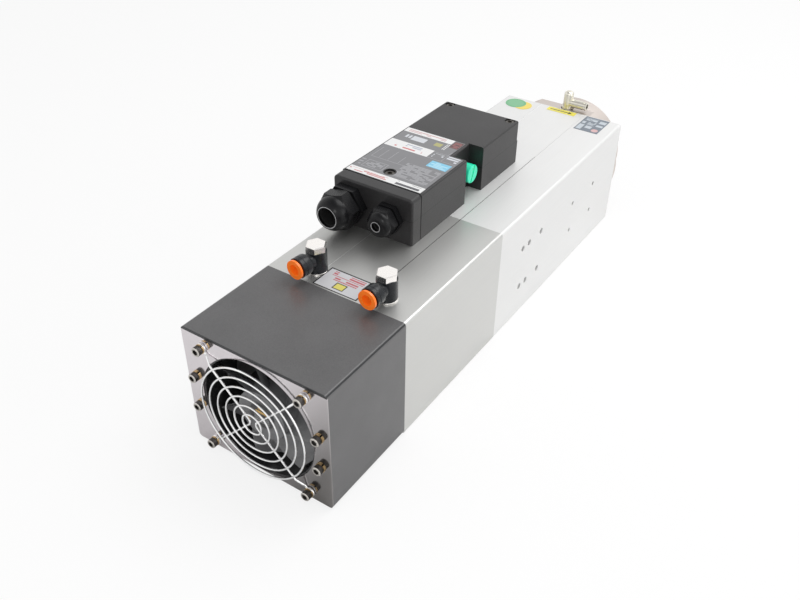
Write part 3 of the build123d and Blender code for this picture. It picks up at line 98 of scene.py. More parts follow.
# %% Sockets that can be added and multiplied
class Tone:
    """A value that varies from place to place: one output socket of a tree."""

    def __init__(self, tree, socket):
        self.tree, self.socket = tree, socket

    def math(self, operation, *others):
        """A Math node with this tone first and the others after it."""
        inputs = dict(enumerate((self, *others)))
        return self.tree.node("ShaderNodeMath", {"operation": operation}, inputs)

    def __add__(self, other):
        return self.math("ADD", other)

    def __mul__(self, other):
        return self.math("MULTIPLY", other)

    def __sub__(self, other):
        return self.math("SUBTRACT", other)

    def __rsub__(self, other):
        return self.tree.node("ShaderNodeMath", {"operation": "SUBTRACT"}, {0: other, 1: self})

    def __gt__(self, other):
        return self.math("GREATER_THAN", other)

    def __lt__(self, other):
        return self.math("LESS_THAN", other)

    __radd__, __rmul__ = __add__, __mul__


class Tree:
    """A node tree, of a material or of the world, that is filled in by formulas."""

    def __init__(self, node_tree):
        self.node_tree = node_tree

    def feed(self, node, socket, value):
        """Link a tone into a socket, or set its number or colour."""
        target = node.inputs[socket]
        if isinstance(value, Tone):
            self.node_tree.links.new(value.socket, target)
        elif hasattr(value, "__len__") and target.type == "RGBA":
            target.default_value = (*value, 1.0)[:4]
        else:
            target.default_value = value

    def node(self, kind, settings, inputs, output=0):
        """Add one node: settings first, then its sockets. Returns the chosen output as a tone."""
        made = self.node_tree.nodes.new(kind)
        for setting, value in settings.items():
            if setting == "stops":
                for stop, (position, colour) in zip(made.color_ramp.elements, value):
                    stop.position, stop.color = position, (*colour, 1.0)
            else:
                setattr(made, setting, value)
        for socket, value in inputs.items():
            self.feed(made, socket, value)
        return Tone(self, made.outputs[output])


# %% A material with the Principled shader as its surface
class Finish(Tree):
    """A material under construction. Patterns are placed by Object coordinates, in metres."""

    def __init__(self, name, colour=(0.8, 0.8, 0.8), roughness=0.5, metallic=0.0):
        self.material = bpy.data.materials.new(name)
        self.material.use_nodes = True
        super().__init__(self.material.node_tree)
        self.shader = self.node_tree.nodes["Principled BSDF"]
        self.set(base_color=colour, roughness=roughness, metallic=metallic)
        self.place = self.node("ShaderNodeTexCoord", {}, {}, "Object")

    def set(self, **sockets):
        """Feed the shader's sockets: base_color goes to the socket Base Color."""
        for socket, value in sockets.items():
            self.feed(self.shader, socket.replace("_", " ").title(), value)

    def axes(self):
        """Tones for the X, Y and Z of the place on the surface."""
        split = self.node("ShaderNodeSeparateXYZ", {}, {"Vector": self.place}).socket.node
        return [Tone(self, output) for output in split.outputs]

    def stretch(self, scale):
        """The place on the surface, stretched by a factor along each axis."""
        return self.node("ShaderNodeMapping", {}, {"Vector": self.place, "Scale": scale})

    def noise(self, size, detail=2.0, stretch=(1, 1, 1)):
        """Cloudy noise from 0 to 1, with blotches of about this size in metres."""
        sockets = {"Vector": self.stretch(stretch), "Scale": 1.0 / size, "Detail": detail}
        return self.node("ShaderNodeTexNoise", {}, sockets, "Fac")

    def mix(self, mask, below, above):
        """One colour laid over another: below where the mask is 0, above where it is 1."""
        factor, first, second, result = 0, 6, 7, 2
        colours = {factor: mask, first: below, second: above}
        return self.node("ShaderNodeMix", {"data_type": "RGBA"}, colours, result)

    def bump(self, height, depth):
        """Dents and bumps this deep, in metres."""
        sockets = {"Height": height, "Distance": depth, "Strength": 1.0}
        self.feed(self.shader, "Normal", self.node("ShaderNodeBump", {}, sockets))


# %% [markdown]
# ## Metals
#
# Anodised aluminium is etched before it is coloured, so it is rough at the scale of a hundredth of
# a millimetre and mirrors only broadly. Fine noise in roughness and height gives it that sparkle.
# Ground and brushed steel carry lines in one direction, which is the same noise stretched along
# that direction. Plating is almost even, so a slight haze is enough.


# %% Three kinds of metal
fan_z = 62.0  # height of the fan's axis


def shade(colour, factor):
    """A colour made darker or lighter: each part times the factor."""
    return tuple(value * factor for value in colour)


def cover_seam_and_painted_glint(finish, colour, skin_colour):
    """The joints beside a channel cover: a dark joint on the right, and a painted highlight on the
    left.
    """
    right, left, front_end = 28.1 * mm, -28.0 * mm, 150 * mm
    # painted highlight: a bright line along the cover's left edge
    painted_glint = (0.98, 0.98, 0.98)
    x, y, _ = finish.axes()
    skin_colour = finish.mix((x > right) * (y < front_end), skin_colour, shade(colour, 0.12))
    return finish.mix(x < left, skin_colour, painted_glint)


def anodised(name, colour, roughness, metallic=0.85, seam_and_painted_glint=False):
    """Etched aluminium: colour = even tone, fine sparkle, and faint lines along the extrusion."""
    finish = Finish(name, metallic=metallic)
    grain = finish.noise(size=0.5 * mm, detail=3.0)
    cloud = finish.noise(size=60 * mm)
    lines = finish.noise(size=0.8 * mm, detail=1.0, stretch=(1, 0.01, 1))
    tone = 0.25 * grain + 0.35 * cloud + 0.4 * lines
    skin_colour = finish.mix(tone, shade(colour, 0.93), shade(colour, 1.05))
    # a dark joint and a painted highlight beside the channel cover
    if seam_and_painted_glint:
        skin_colour = cover_seam_and_painted_glint(finish, colour, skin_colour)
    finish.set(base_color=skin_colour, roughness=roughness + 0.10 * grain)
    finish.bump(grain + 0.4 * lines, depth=0.010 * mm)
    return finish.material


def brushed(name, colour, roughness, along=(1, 1, 1), size=0.35 * mm, painted_dark_reflection=None):
    """Ground metal: streaks in one direction over a bright base.

    A painted dark reflection darkens it to the lower right, by 12 times (x + 0.6 times the drop
    from the axis).
    """
    finish = Finish(name, metallic=1.0)
    streak = finish.noise(size, detail=3.0, stretch=along)
    cloud = finish.noise(size=25 * mm)
    tone = 0.6 * streak + 0.4 * cloud
    skin_colour = finish.mix(tone, shade(colour, 0.88), shade(colour, 1.06))
    # painted reflection: darker towards the lower right
    if painted_dark_reflection:
        x, _, z = finish.axes()
        skin_colour = finish.mix((x + (fan_z * mm - z) * 0.6) * 12, skin_colour, painted_dark_reflection)
    finish.set(base_color=skin_colour, roughness=roughness + 0.12 * streak + 0.05 * cloud)
    finish.bump(streak, depth=0.004 * mm)
    return finish.material


def plated(name, colour, roughness):
    """Bright plating: almost even, with a slight haze that varies from place to place."""
    finish = Finish(name, metallic=1.0)
    haze = finish.noise(size=4 * mm, detail=3.0)
    skin_colour = finish.mix(haze, shade(colour, 0.97), shade(colour, 1.02))
    finish.set(base_color=skin_colour, roughness=roughness + 0.08 * haze)
    return finish.material


# %% [markdown]
# Each metal is now one call: its name, its colour under white light, its roughness and, for ground
# ones, a stretch. A stretch of 0.02 along an axis makes the noise fifty times longer that way.

# %% Mix the metals
front_tone, rear_tone, bare_tone = (0.78, 0.78, 0.775), (0.62, 0.62, 0.605), (0.62, 0.62, 0.62)
along_x, along_y, along_z, around_y = (0.02, 1, 1), (1, 0.02, 1), (1, 1, 0.03), (0.03, 1, 0.03)

front_aluminium = anodised("front_aluminium", front_tone, 0.45, metallic=0.4)
front_cover_aluminium = anodised(
    "front_cover_aluminium", front_tone, 0.45, metallic=0.4, seam_and_painted_glint=True)
rear_aluminium = anodised("rear_aluminium", rear_tone, 0.36)
rear_cover_aluminium = anodised("rear_cover_aluminium", rear_tone, 0.36, seam_and_painted_glint=True)
bare_aluminium = brushed("bare_aluminium", bare_tone, 0.30, along_y)
# the fan plate wears a painted dark reflection towards its lower right
plate_steel = brushed(
    "plate_steel", (0.74, 0.70, 0.72), 0.04, along_x, painted_dark_reflection=(0.24, 0.23, 0.225))
nose_steel = brushed("nose_steel", (0.66, 0.60, 0.56), 0.36, along_z)
ground_steel = brushed("ground_steel", (0.60, 0.60, 0.61), 0.18, around_y)
lamination = brushed(
    "lamination", (0.30, 0.30, 0.31), 0.40, along=(0.05, 1, 0.05), size=0.5 * mm)
dark_steel = plated("dark_steel", (0.15, 0.14, 0.13), 0.30)
gold_zinc = plated("gold_zinc", (0.80, 0.58, 0.30), 0.25)
pale_zinc = plated("pale_zinc", (0.62, 0.62, 0.58), 0.30)
guard_chrome = plated("guard_chrome", (0.97, 0.97, 0.97), 0.22)
bearing_steel = plated("bearing_steel", (0.72, 0.72, 0.73), 0.10)
spring_steel = plated("spring_steel", (0.22, 0.23, 0.26), 0.35)
nickel = plated("nickel", (0.97, 0.94, 0.91), 0.20)
nose_nickel = plated("nose_nickel", (0.80, 0.77, 0.68), 0.28)
copper = plated("copper", (0.70, 0.30, 0.14), 0.35)
print("materials so far:", len(bpy.data.materials))

# %% [markdown]
# ## Paint, plastic and rubber
#
# The hood is sheet steel with satin black paint, which dries into a very fine orange peel. The box
# and the glands are moulded nylon: their mould was spark-eroded, so the skin has a soft leathery
# grain. Gloss plastics have a clean skin. One recipe with a few numbers covers them all, and where
# a joint looks different, or a fold, a well or a mouth's lip gets painted shade or a painted
# highlight, a small function lays it over the colour.


# %% One recipe for every moulded or painted skin
def painted(name, colour, roughness, peel, depth, gloss=0.5, marks=None, speckle=0.3, painted_glow=0.0):
    """Paint or moulded skin: soft grain in the height, speckle in the colour, a cloudy gloss.

    peel is the size of the grain and depth its height, in millimetres. marks(finish, skin_colour)
    may lay darker or lighter places over the colour: joints, painted shade and painted highlights.
    The last argument adds painted light: the part shines in its own colour, though it is no lamp.
    """
    finish = Finish(name)
    finish.shader.inputs["Specular IOR Level"].default_value = gloss
    grain = finish.noise(size=peel * mm, detail=3.0)
    cloud = finish.noise(size=30 * mm)
    tone = 0.75 * grain + 0.25 * cloud
    skin_colour = finish.mix(tone, shade(colour, 1 - speckle), shade(colour, 1 + speckle))
    if marks:
        skin_colour = marks(finish, skin_colour)
    # painted light: the part shines in its own colour, though it is no lamp
    if painted_glow:
        finish.set(emission_color=colour, emission_strength=painted_glow)
    finish.set(base_color=skin_colour, roughness=roughness + 0.10 * grain - 0.04 * cloud)
    finish.bump(grain, depth * mm)
    return finish.material


def disc(x, y, centre, radius):
    """1 inside a circle in millimetres: where the squared distance is under the squared radius."""
    across, along = x - centre[0] * mm, y - centre[1] * mm
    return (across * across + along * along) < (radius * mm) ** 2


def either(one, other):
    """1 where one of two masks is 1."""
    return one.math("MAXIMUM", other)


# %% [markdown]
# A mark is a mask made of comparisons on the place: inside a disc, above a height, behind a face.
# Products of masks mean "and", and the larger of two means "or".

# %% Marks at folds, joints and mouths
def painted_fold_and_rim_shade(finish, skin_colour):
    """Painted shade on the hood: a dark reflection along both folds and shade along the rear rim.
    """
    fold_x, fold_z, rim_y = 73.4 * mm, 125.4 * mm, -280.9 * mm
    x, y, z = finish.axes()
    fold = (x.math("ABSOLUTE") > fold_x) * (z > fold_z)
    # painted shade at the folds and the rim
    return finish.mix(either(fold, y < rim_y), skin_colour, (0.012, 0.013, 0.015))


def box_joint_and_painted_well_shade(finish, skin_colour):
    """The joint between base and lid, and painted shade in the wells of the two front screws."""
    joint_low, joint_high, lid_top = 152.2 * mm, 152.8 * mm, 171 * mm
    left_well, right_well, well_radius = (-65.0, 121.5), (8.0, 121.5), 6.1
    x, y, z = finish.axes()
    joint = (z > joint_low) * (z < joint_high)
    # painted shade in the two screw wells, on the lid
    wells = either(disc(x, y, left_well, well_radius), disc(x, y, right_well, well_radius))
    return finish.mix(either(joint, wells * (z > lid_top)), skin_colour, (0.003, 0.003, 0.003))


def painted_gland_lip_highlights(finish, skin_colour):
    """A painted highlight on the lip of each gland's mouth: a disc less a smaller disc."""
    large_gland, small_gland = (-55.0, 151.0), (-9.0, 151.0)
    large_mouth, small_mouth, small_shoulder = -111.6 * mm, -99.6 * mm, -102 * mm
    x, y, z = finish.axes()
    large = disc(x, z, large_gland, 10.95) * (1 - disc(x, z, large_gland, 10.2))
    small = disc(x, z, small_gland, 5.1) * (1 - disc(x, z, small_gland, 4.5))
    small = small * (y < small_mouth) * (y > small_shoulder)
    # painted highlight on the lips of both mouths
    return finish.mix(either(large * (y < large_mouth), small), skin_colour, (0.55, 0.55, 0.56))


# %% Mix the paints and plastics
orange, green = (1.0, 0.20, 0.014), (0.03, 0.86, 0.52)

# the hood's folds and rim carry painted shade
hood_paint = painted(
    "hood_paint", (0.105, 0.104, 0.106), 0.30, 0.7, 0.020, marks=painted_fold_and_rim_shade, speckle=0.5)
frame_paint = painted("frame_paint", (0.02, 0.02, 0.021), 0.16, 0.6, 0.010)
box_plastic = painted(
    "box_plastic", (0.026, 0.025, 0.026), 0.36, 1.2, 0.09, 0.42, box_joint_and_painted_well_shade, speckle=0.9)
# the gland mouths carry a painted highlight on their lips
gland_plastic = painted(
    "gland_plastic", (0.010, 0.010, 0.011), 0.24, 0.5, 0.006, 0.2, painted_gland_lip_highlights)
elbow_plastic = painted("elbow_plastic", (0.009, 0.011, 0.014), 0.24, 0.5, 0.010, gloss=0.35)
blade_plastic = painted("blade_plastic", (0.17, 0.17, 0.175), 0.16, 1.5, 0.004, gloss=0.9)
# the orange collars shine with painted light
orange_plastic = painted("orange_plastic", orange, 0.22, 0.9, 0.004, painted_glow=0.18)
green_plastic = painted("green_plastic", green, 0.22, 0.9, 0.004)
white_plastic = painted("white_plastic", (0.75, 0.75, 0.72), 0.35, 0.7, 0.010)
rubber = painted("rubber", (0.018, 0.018, 0.018), 0.60, 0.5, 0.020)
print("materials with the paints:", len(bpy.data.materials))

# %% [markdown]
# ## Which solid wears which finish
#
# A solid is cut from one stock, so it takes one finish. The table reads as a parts list would: the
# finish first, then the pieces that come out of that bath, paint shop or mould. Pieces whose real
# form is finer than a cut solid get a mesh of their own further down.

# %% Give each solid its finish
finishes = {
    front_aluminium: ["front_housing"],
    front_cover_aluminium: ["front_channel_cover"],
    rear_aluminium: ["rear_housing"],
    rear_cover_aluminium: ["rear_channel_cover"],
    bare_aluminium: ["rear_cover", "cylinder_body", "tie_bars", "sensor_ring", "piston"],
    plate_steel: ["fan_plate"],
    nose_steel: ["nose_block", "nose_cap"],
    ground_steel: [
        "shaft", "drawbar", "labyrinth_ring", "rear_bearing_housing", "rear_bearing_cap",
    ],
    dark_steel: [
        "plate_screws", "socket_screws", "bearing_nuts", "drive_keys", "drawbar_collars",
        "gripper_fingers",
    ],
    gold_zinc: ["lock_washers"],
    pale_zinc: ["fan_nuts"],
    guard_chrome: ["fan_guard"],
    bearing_steel: [
        "bearing_outer_rings", "bearing_inner_rings", "front_ball_cages", "rear_ball_cages",
    ],
    spring_steel: ["disc_springs"],
    nickel: ["elbow_bolts", "position_sensors"],
    nose_nickel: ["nose_elbow_stem", "nose_elbow_body", "nose_release_collar"],
    hood_paint: ["fan_hood"],
    frame_paint: ["fan_frame"],
    box_plastic: ["box_base", "box_lid", "end_cap"],
    gland_plastic: ["gland_bodies", "large_gland_nut", "small_gland_nut"],
    elbow_plastic: ["left_elbow_body", "right_elbow_body"],
    blade_plastic: ["fan_rotor"],
    orange_plastic: ["left_release_collar", "right_release_collar"],
    green_plastic: ["side_plug"],
    white_plastic: ["terminal_block"],
    rubber: ["rubber_seals", "box_gasket", "piston_seals"],
    copper: ["stator_windings"],
    lamination: ["stator_core", "rotor"],
}


def dress(thing, material):
    """Put one material in an object's only slot."""
    thing.data.materials.clear()
    thing.data.materials.append(material)


for material, names in finishes.items():
    for name in names:
        dress(nodes[name], material)
left_over = set(nodes) - {name for names in finishes.values() for name in names}
print("nodes still to be printed as labels:", sorted(left_over))

# %% [markdown]
# ## Labels
#
# A printed label is a stack of flat shapes. In a shader, a rectangle is the product of four
# comparisons, and each one is laid over what is already there. Words are left out: rows of small
# dashes stand where lines of print would be.


# %% Printing with comparisons
def rectangle(x, y, low, high):
    """1 inside a rectangle between two corners in millimetres, 0 outside."""
    return (x > low[0] * mm) * (x < high[0] * mm) * (y > low[1] * mm) * (y < high[1] * mm)


def dashes(finish, x, y, low, high, pitch):
    """Rows of short bars inside a rectangle; pitch is the rows' spacing in millimetres.

    The plane is cut into cells two pitches long and one high. White noise gives each cell a random
    number, and cells under the gap share stay empty, as does the lower part of each row.
    """
    gap_share = 0.35
    cells = finish.stretch((0.5 / (pitch * mm), 1 / (pitch * mm), 0))
    corner = finish.node("ShaderNodeVectorMath", {"operation": "FLOOR"}, {0: cells})
    plane = {"noise_dimensions": "2D"}
    chance = finish.node("ShaderNodeTexWhiteNoise", plane, {"Vector": corner}, "Value")
    up_the_row = (y * (1 / (pitch * mm))).math("FRACT")
    return rectangle(x, y, low, high) * (chance > gap_share) * (up_the_row > gap_share)


def screw_ring(finish, x, y, colour, centre, outer, inner, groove=0.8):
    """A black ring with a dark grey line on its inside, printed round a screw."""
    for radius, ink in ((outer, soot), (inner, coal), (inner - groove, night)):
        colour = finish.mix(disc(x, y, centre, radius), colour, ink)
    return colour


def layers(finish, x, y, colour, blocks, lines):
    """Lay blocks (low, high, ink) over a colour, then dashed lines (low, high, pitch, ink)."""
    for low, high, ink in blocks:
        colour = finish.mix(rectangle(x, y, low, high), colour, ink)
    for low, high, pitch, ink in lines:
        colour = finish.mix(dashes(finish, x, y, low, high, pitch), colour, ink)
    return colour


# %% [markdown]
# The box's label has a grey ground with three white panels, a blue block, a few signs and two
# tables drawn in faint lines. Each entry gives two corners in millimetres, X first.

# %% Print the label on the box
white, grey, faint, pale = (0.80,) * 3, (0.20, 0.20, 0.21), (0.36, 0.36, 0.38), (0.62, 0.64, 0.68)
soot, coal, night, slate = (0.004,) * 3, (0.10, 0.10, 0.105), (0.006,) * 3, (0.45, 0.47, 0.55)
sky, light_sky, olive = (0.22, 0.56, 0.76), (0.42, 0.70, 0.84), (0.42, 0.40, 0.16)
brick, red, rose = (0.60, 0.22, 0.22), (0.60, 0.18, 0.18), (0.62, 0.42, 0.42)
plum, wine, lead = (0.10, 0.045, 0.045), (0.30, 0.10, 0.10), (0.10, 0.10, 0.11)

box_blocks = [
    ((-71, -61), (14, -51.5), white),
    ((-71, 2), (-20, 17.5), white),
    ((-71, 38.5), (-14, 48), white),
    ((-11, -13.5), (11, -0.8), sky),
    # signs
    ((-54, 25), (-38, 34), pale),
    ((-28, 27), (-20, 34), olive),
    ((-62, 27), (-59.5, 33.5), pale),
    ((-58, 27), (-55.5, 33.5), pale),
    ((-13, 32), (-3, 46.5), plum),
    ((-16.6, 24), (-15.8, 37), white),
    ((-14.6, 24), (-13.8, 37), white),
    # a frame, side by side
    ((-62.5, -47.5), (-40, -46.9), faint),
    ((-62.5, -33.6), (-40, -33), faint),
    ((-62.5, -47.5), (-61.9, -33), faint),
    ((-40.6, -47.5), (-40, -33), faint),
    # the lines of two tables
    ((-66, -26), (-65.5, -4), faint),
    ((-66, -26), (-26, -25.5), faint),
    ((-19, 2), (12, 2.5), faint),
    ((-19, 16), (12, 16.5), faint),
    ((-4, 2), (-3.5, 24), faint),
    ((-58, -24), (-57.5, -6), faint),
    ((-48, -24), (-47.5, -4), faint),
    ((-36, -24), (-35.5, -10), faint),
]
box_lines = [
    ((-69, -59), (-26, -54), 2.4, brick),
    ((-16, -59.5), (10, -53), 7.0, lead),
    ((-60, -45), (-43, -35), 2.2, faint),
    ((-70, -46), (-65, -34), 2.6, faint),
    ((-28, -47), (10, -18), 2.1, faint),
    ((-17, 4), (-6, 14), 4.0, pale),
    ((-2, 4), (11, 22), 4.0, pale),
    ((-60, 4), (-28, 8.5), 3.6, red),
    ((-50, 10), (-32, 15), 3.0, slate),
    ((-66, 40.5), (-22, 46), 2.8, rose),
    ((-12, 33), (-4, 45), 2.4, wine),
    ((-9, -12), (9, -2.5), 2.6, light_sky),
]

box_print = Finish("box_print")
label_x, label_y, _ = box_print.axes()
inks = layers(box_print, label_x, label_y, grey, box_blocks, box_lines)
inks = screw_ring(box_print, label_x, label_y, inks, centre=(-32.0, -43.1), outer=6.5, inner=4.2)
box_print.set(base_color=inks, roughness=0.25 + 0.12 * box_print.noise(size=6 * mm))
dress(nodes["box_label"], box_print.material)
label_low, label_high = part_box("box_label")
print("box label spans", [round(v / mm, 1) for v in (*label_low, *label_high)])

# %% [markdown]
# The labels on the housings share one solid, so one material prints them all: each has its own
# place in X and Y. Behind the shaft's axis lies the silver vent label; at the nose lie a yellow
# strip with an arrow, a sheet of small data blocks, and a yellow and a green round label.

# %% Print the small labels
black, silver = (0.02,) * 3, (0.60, 0.60, 0.62)
blue_grey, pale_blue = (0.17, 0.20, 0.24), (0.52, 0.57, 0.62)
lemon, yellow, amber = (0.72, 0.64, 0.14), (0.84, 0.74, 0.10), (0.84, 0.66, 0.12)
leaf, light_leaf = (0.15, 0.44, 0.22), (0.19, 0.47, 0.26)
crimson, pink = (0.52, 0.12, 0.14), (0.66, 0.42, 0.42)
strips_from = 200 * mm

small_blocks = [
    ((-22.6, -173.2), (21.8, -146.7), silver),
    ((-6, -170.5), (5.5, -161.5), black),
    ((-5, -169.5), (4.5, -162.5), lemon),
    ((-17, 269), (20, 282), yellow),
    ((-13.5, 274.0), (11, 275.7), black),
    ((33.6, 243), (39.6, 257), pale_blue),
    ((34, 260), (38, 266), pale_blue),
    ((42, 249), (49.5, 256), pale_blue),
    ((52, 258.5), (60, 263.5), pale_blue),
    ((52, 268), (60, 275), pale_blue),
    ((34.5, 270), (49, 277), pale_blue),
]
small_lines = [
    ((-17, -154.4), (16, -148.2), 3.2, crimson),
    ((-12, -160.2), (13, -155.2), 3.0, crimson),
    ((41, 258.5), (50, 268), 2.4, pale_blue),
    ((34.5, 270), (49, 277), 2.0, blue_grey),
]
round_marks = [
    ((-45.4, 263.5), 11.6, amber),
    ((-55.6, 265.0), 12.7, leaf),
    ((-55.6, 265.0), 9.8, light_leaf),
    ((55.6, 247.5), 4.0, pink),
]

small_print = Finish("small_print")
label_x, label_y, _ = small_print.axes()
inks = small_print.mix(label_y > strips_from, black, blue_grey)
inks = layers(small_print, label_x, label_y, inks, small_blocks, small_lines)
arrow_foot, arrow_tip, arrow_y, arrow_slope = 10 * mm, 15 * mm, 274.9 * mm, 0.55
arrow_half = (arrow_tip - label_x) * arrow_slope
arrow = (label_x > arrow_foot) * (label_x < arrow_tip)
arrow = arrow * ((label_y - arrow_y).math("ABSOLUTE") < arrow_half)
inks = small_print.mix(arrow, inks, black)
for centre, radius, ink in round_marks:
    inks = small_print.mix(disc(label_x, label_y, centre, radius), inks, ink)
small_print.set(base_color=inks, roughness=0.28 + 0.1 * small_print.noise(size=5 * mm))
dress(nodes["housing_labels"], small_print.material)
print("small labels:", len(small_blocks), "blocks,", len(round_marks), "round marks")

# %% [markdown]
# ## Surfaces from two parameters
#
# Most turned and swept pieces are one grid of points: rows along a profile or a path, columns round
# it. `skin` joins such a grid into faces, closes its ends where the rows shrink to a point or end
# in a hole, and marks only true corners as sharp.


# %% From a grid of points to a finished piece
def tube_faces(grid, start):
    """Faces of one closed tube whose points are numbered from start, row by row.

    Each face joins a point, its right neighbour and the two above them. Both end rows get a cap,
    unless the last row is the first one again.
    """
    rows, columns, _ = grid.shape
    index = start + np.arange(rows * columns).reshape(rows, columns)
    here, right = index[:-1], np.roll(index[:-1], -1, 1)
    above, above_right = index[1:], np.roll(index[1:], -1, 1)
    faces = np.stack([here, right, above_right, above], -1).reshape(-1, 4).tolist()
    if not np.allclose(grid[0], grid[-1]):
        faces += [index[0][::-1].tolist(), index[-1].tolist()]
    return faces


def close_and_smooth(mesh, crease, touching=1e-7):
    """Merge touching points, turn faces outwards, and keep edges above the crease angle sharp."""
    shape = bmesh.new()
    shape.from_mesh(mesh)
    bmesh.ops.remove_doubles(shape, verts=shape.verts, dist=touching)
    bmesh.ops.recalc_face_normals(shape, faces=shape.faces)
    for face in shape.faces:
        face.smooth = True
    for edge in shape.edges:
        edge.smooth = edge.calc_face_angle(0.0) < radians(crease)
    shape.to_mesh(mesh)
    shape.free()


def skin(name, grids, material, body, stands_for=(), crease=35, worn=None):
    """Make one piece from closed tubes, each a grid of shape (rows, columns, 3) in millimetres.

    worn gives each grid's rows and columns a number from 0 to 1, kept as the attribute "worn".
    A piece without a body is left unattached.
    """
    points, faces = np.concatenate([grid.reshape(-1, 3) for grid in grids]), []
    start = 0
    for grid in grids:
        faces += tube_faces(grid, start)
        start += grid.shape[0] * grid.shape[1]
    mesh = bpy.data.meshes.new(name)
    mesh.from_pydata(points * mm, [], faces)
    if worn is not None:
        attribute = mesh.attributes.new("worn", "FLOAT", "POINT")
        attribute.data.foreach_set("value", np.concatenate(worn).ravel())
    close_and_smooth(mesh, crease)
    piece = bpy.data.objects.new(name, mesh)
    bpy.context.scene.collection.objects.link(piece)
    dress(piece, material)
    if body:
        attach(piece, body)
    if stands_for:
        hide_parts(*stands_for)
    print(name, "faces:", len(mesh.polygons))
    return piece


# %% [markdown]
# ## The wire guard
#
# A finger guard is steel wire, bent cold and spot-welded: six rings sit on two V-shaped arms, and
# each arm ends in a loop under a corner screw. A closed ring is a path that comes back to its
# start. The arms are straight runs joined by arcs, which `rounded` works out from the corners'
# tangents.


# %% Bending wire
def wire(path, radius, sides=10):
    """Points of a round wire along a path that never runs along Y.

    Each ring is square to the path: point + radius * (cos(angle) * side + sin(angle) * up).
    """
    path = np.array(path, float)
    ahead = np.gradient(path, axis=0)
    ahead /= np.linalg.norm(ahead, axis=1, keepdims=True)
    side = np.cross(ahead, (0, 1, 0))
    side /= np.linalg.norm(side, axis=1, keepdims=True)
    up = np.cross(side, ahead)
    angle = np.linspace(0, 2 * np.pi, sides, endpoint=False)[None, :, None]
    return path[:, None] + radius * (np.cos(angle) * side[:, None] + np.sin(angle) * up[:, None])


def hoop(radius, y, centre, thickness, turns=96, sides=10):
    """A closed ring of wire about Y: the first and last ring of points are the same."""
    angle = np.linspace(0, 2 * np.pi, turns + 1)[:, None]
    tube = np.linspace(0, 2 * np.pi, sides, endpoint=False)[None, :]
    reach = radius + thickness * np.cos(tube)
    across = centre[0] + reach * np.cos(angle)
    height = centre[1] + reach * np.sin(angle)
    return np.stack([across, y + thickness * np.sin(tube) + 0 * angle, height], -1)


def rounded(points, radii, steps=8):
    """A path through straight runs, with an arc of the given radius at each inner corner.

    With half the angle between the runs, the arc starts radius / tan(half) from the corner and its
    centre lies radius / sin(half) away on the line between them.
    """
    points = np.array(points, float)
    path = [points[:1]]
    for before, corner, after, radius in zip(points[:-2], points[1:-1], points[2:], radii):
        back = (before - corner) / np.linalg.norm(before - corner)
        on = (after - corner) / np.linalg.norm(after - corner)
        half = np.arccos(np.clip(back @ on, -1, 1)) / 2
        middle = (back + on) / np.linalg.norm(back + on)
        centre = corner + middle * radius / np.sin(half)
        start = corner + back * radius / np.tan(half)
        end = corner + on * radius / np.tan(half)
        turned = np.linspace(0, np.pi - 2 * half, steps)[:, None]
        sideways = (end - centre) - (start - centre) * np.cos(np.pi - 2 * half)
        sideways *= radius / np.linalg.norm(sideways)
        path.append(centre + (start - centre) * np.cos(turned) + sideways * np.sin(turned))
    return np.concatenate(path + [points[-1:]])


# %% [markdown]
# The plate's outer face and the fan's axis place everything at this end. A wire is given by its
# radius, and an arm lies behind the rings, rests on the plate at its loops and bends at its knees.

# %% Sizes at the fan end
plate_y = -281.5
screw_half = 52.5  # half the spacing of the corner screws
ring_wire, arm_wire, loop_radius = 0.9, 1.1, 3.7
ring_count, first_ring, ring_pitch = 6, 10, 9
ring_y = plate_y - 6.5
arm_y = ring_y + 1.6
loop_y = plate_y - arm_wire
diagonal = np.cos(np.pi / 4)
knee = (first_ring + (ring_count - 1) * ring_pitch + 3 * arm_wire) * diagonal
loop_edge = screw_half - loop_radius * diagonal
lead_in, arm_gap = 1.8, 1.4  # straight end beside a loop, half the gap between the two arms
arm_tuck = 0.05  # an arm is this much thinner than its loops, so that no two surfaces coincide
loop_bend, middle_bend = 2, 4.5
corner_places = [(sx * screw_half, fan_z + sz * screw_half) for sx in (-1, 1) for sz in (-1, 1)]
print("rings stand off the plate by", plate_y - ring_y, "mm")

# %% Rings, arms and loops
guard = [
    hoop(first_ring + ring_pitch * k, ring_y, (0, fan_z), ring_wire) for k in range(ring_count)
]
for side in (-1, 1):
    straight = loop_edge - lead_in
    corners = [
        (side * loop_edge, loop_y, fan_z + loop_edge),
        (side * straight, loop_y, fan_z + straight),
        (side * knee, arm_y, fan_z + knee),
        (side * arm_gap, arm_y, fan_z),
        (side * knee, arm_y, fan_z - knee),
        (side * straight, loop_y, fan_z - straight),
        (side * loop_edge, loop_y, fan_z - loop_edge),
    ]
    bends = [loop_bend, loop_bend, middle_bend, loop_bend, loop_bend]
    guard.append(wire(rounded(corners, bends), arm_wire - arm_tuck))
guard += [hoop(loop_radius, loop_y, centre, arm_wire, turns=48) for centre in corner_places]
skin("wire_guard", guard, guard_chrome, "housing", ["fan_guard"])

# %% [markdown]
# ## Screws and washers
#
# A socket screw's head is knurled so that fingers can start it. A knurl is a radius that ripples
# round the turn; the socket is a radius that follows a hexagon. The split washer under it is a flat
# spring: a square section carried almost once round, rising a little, with the two ends left open.


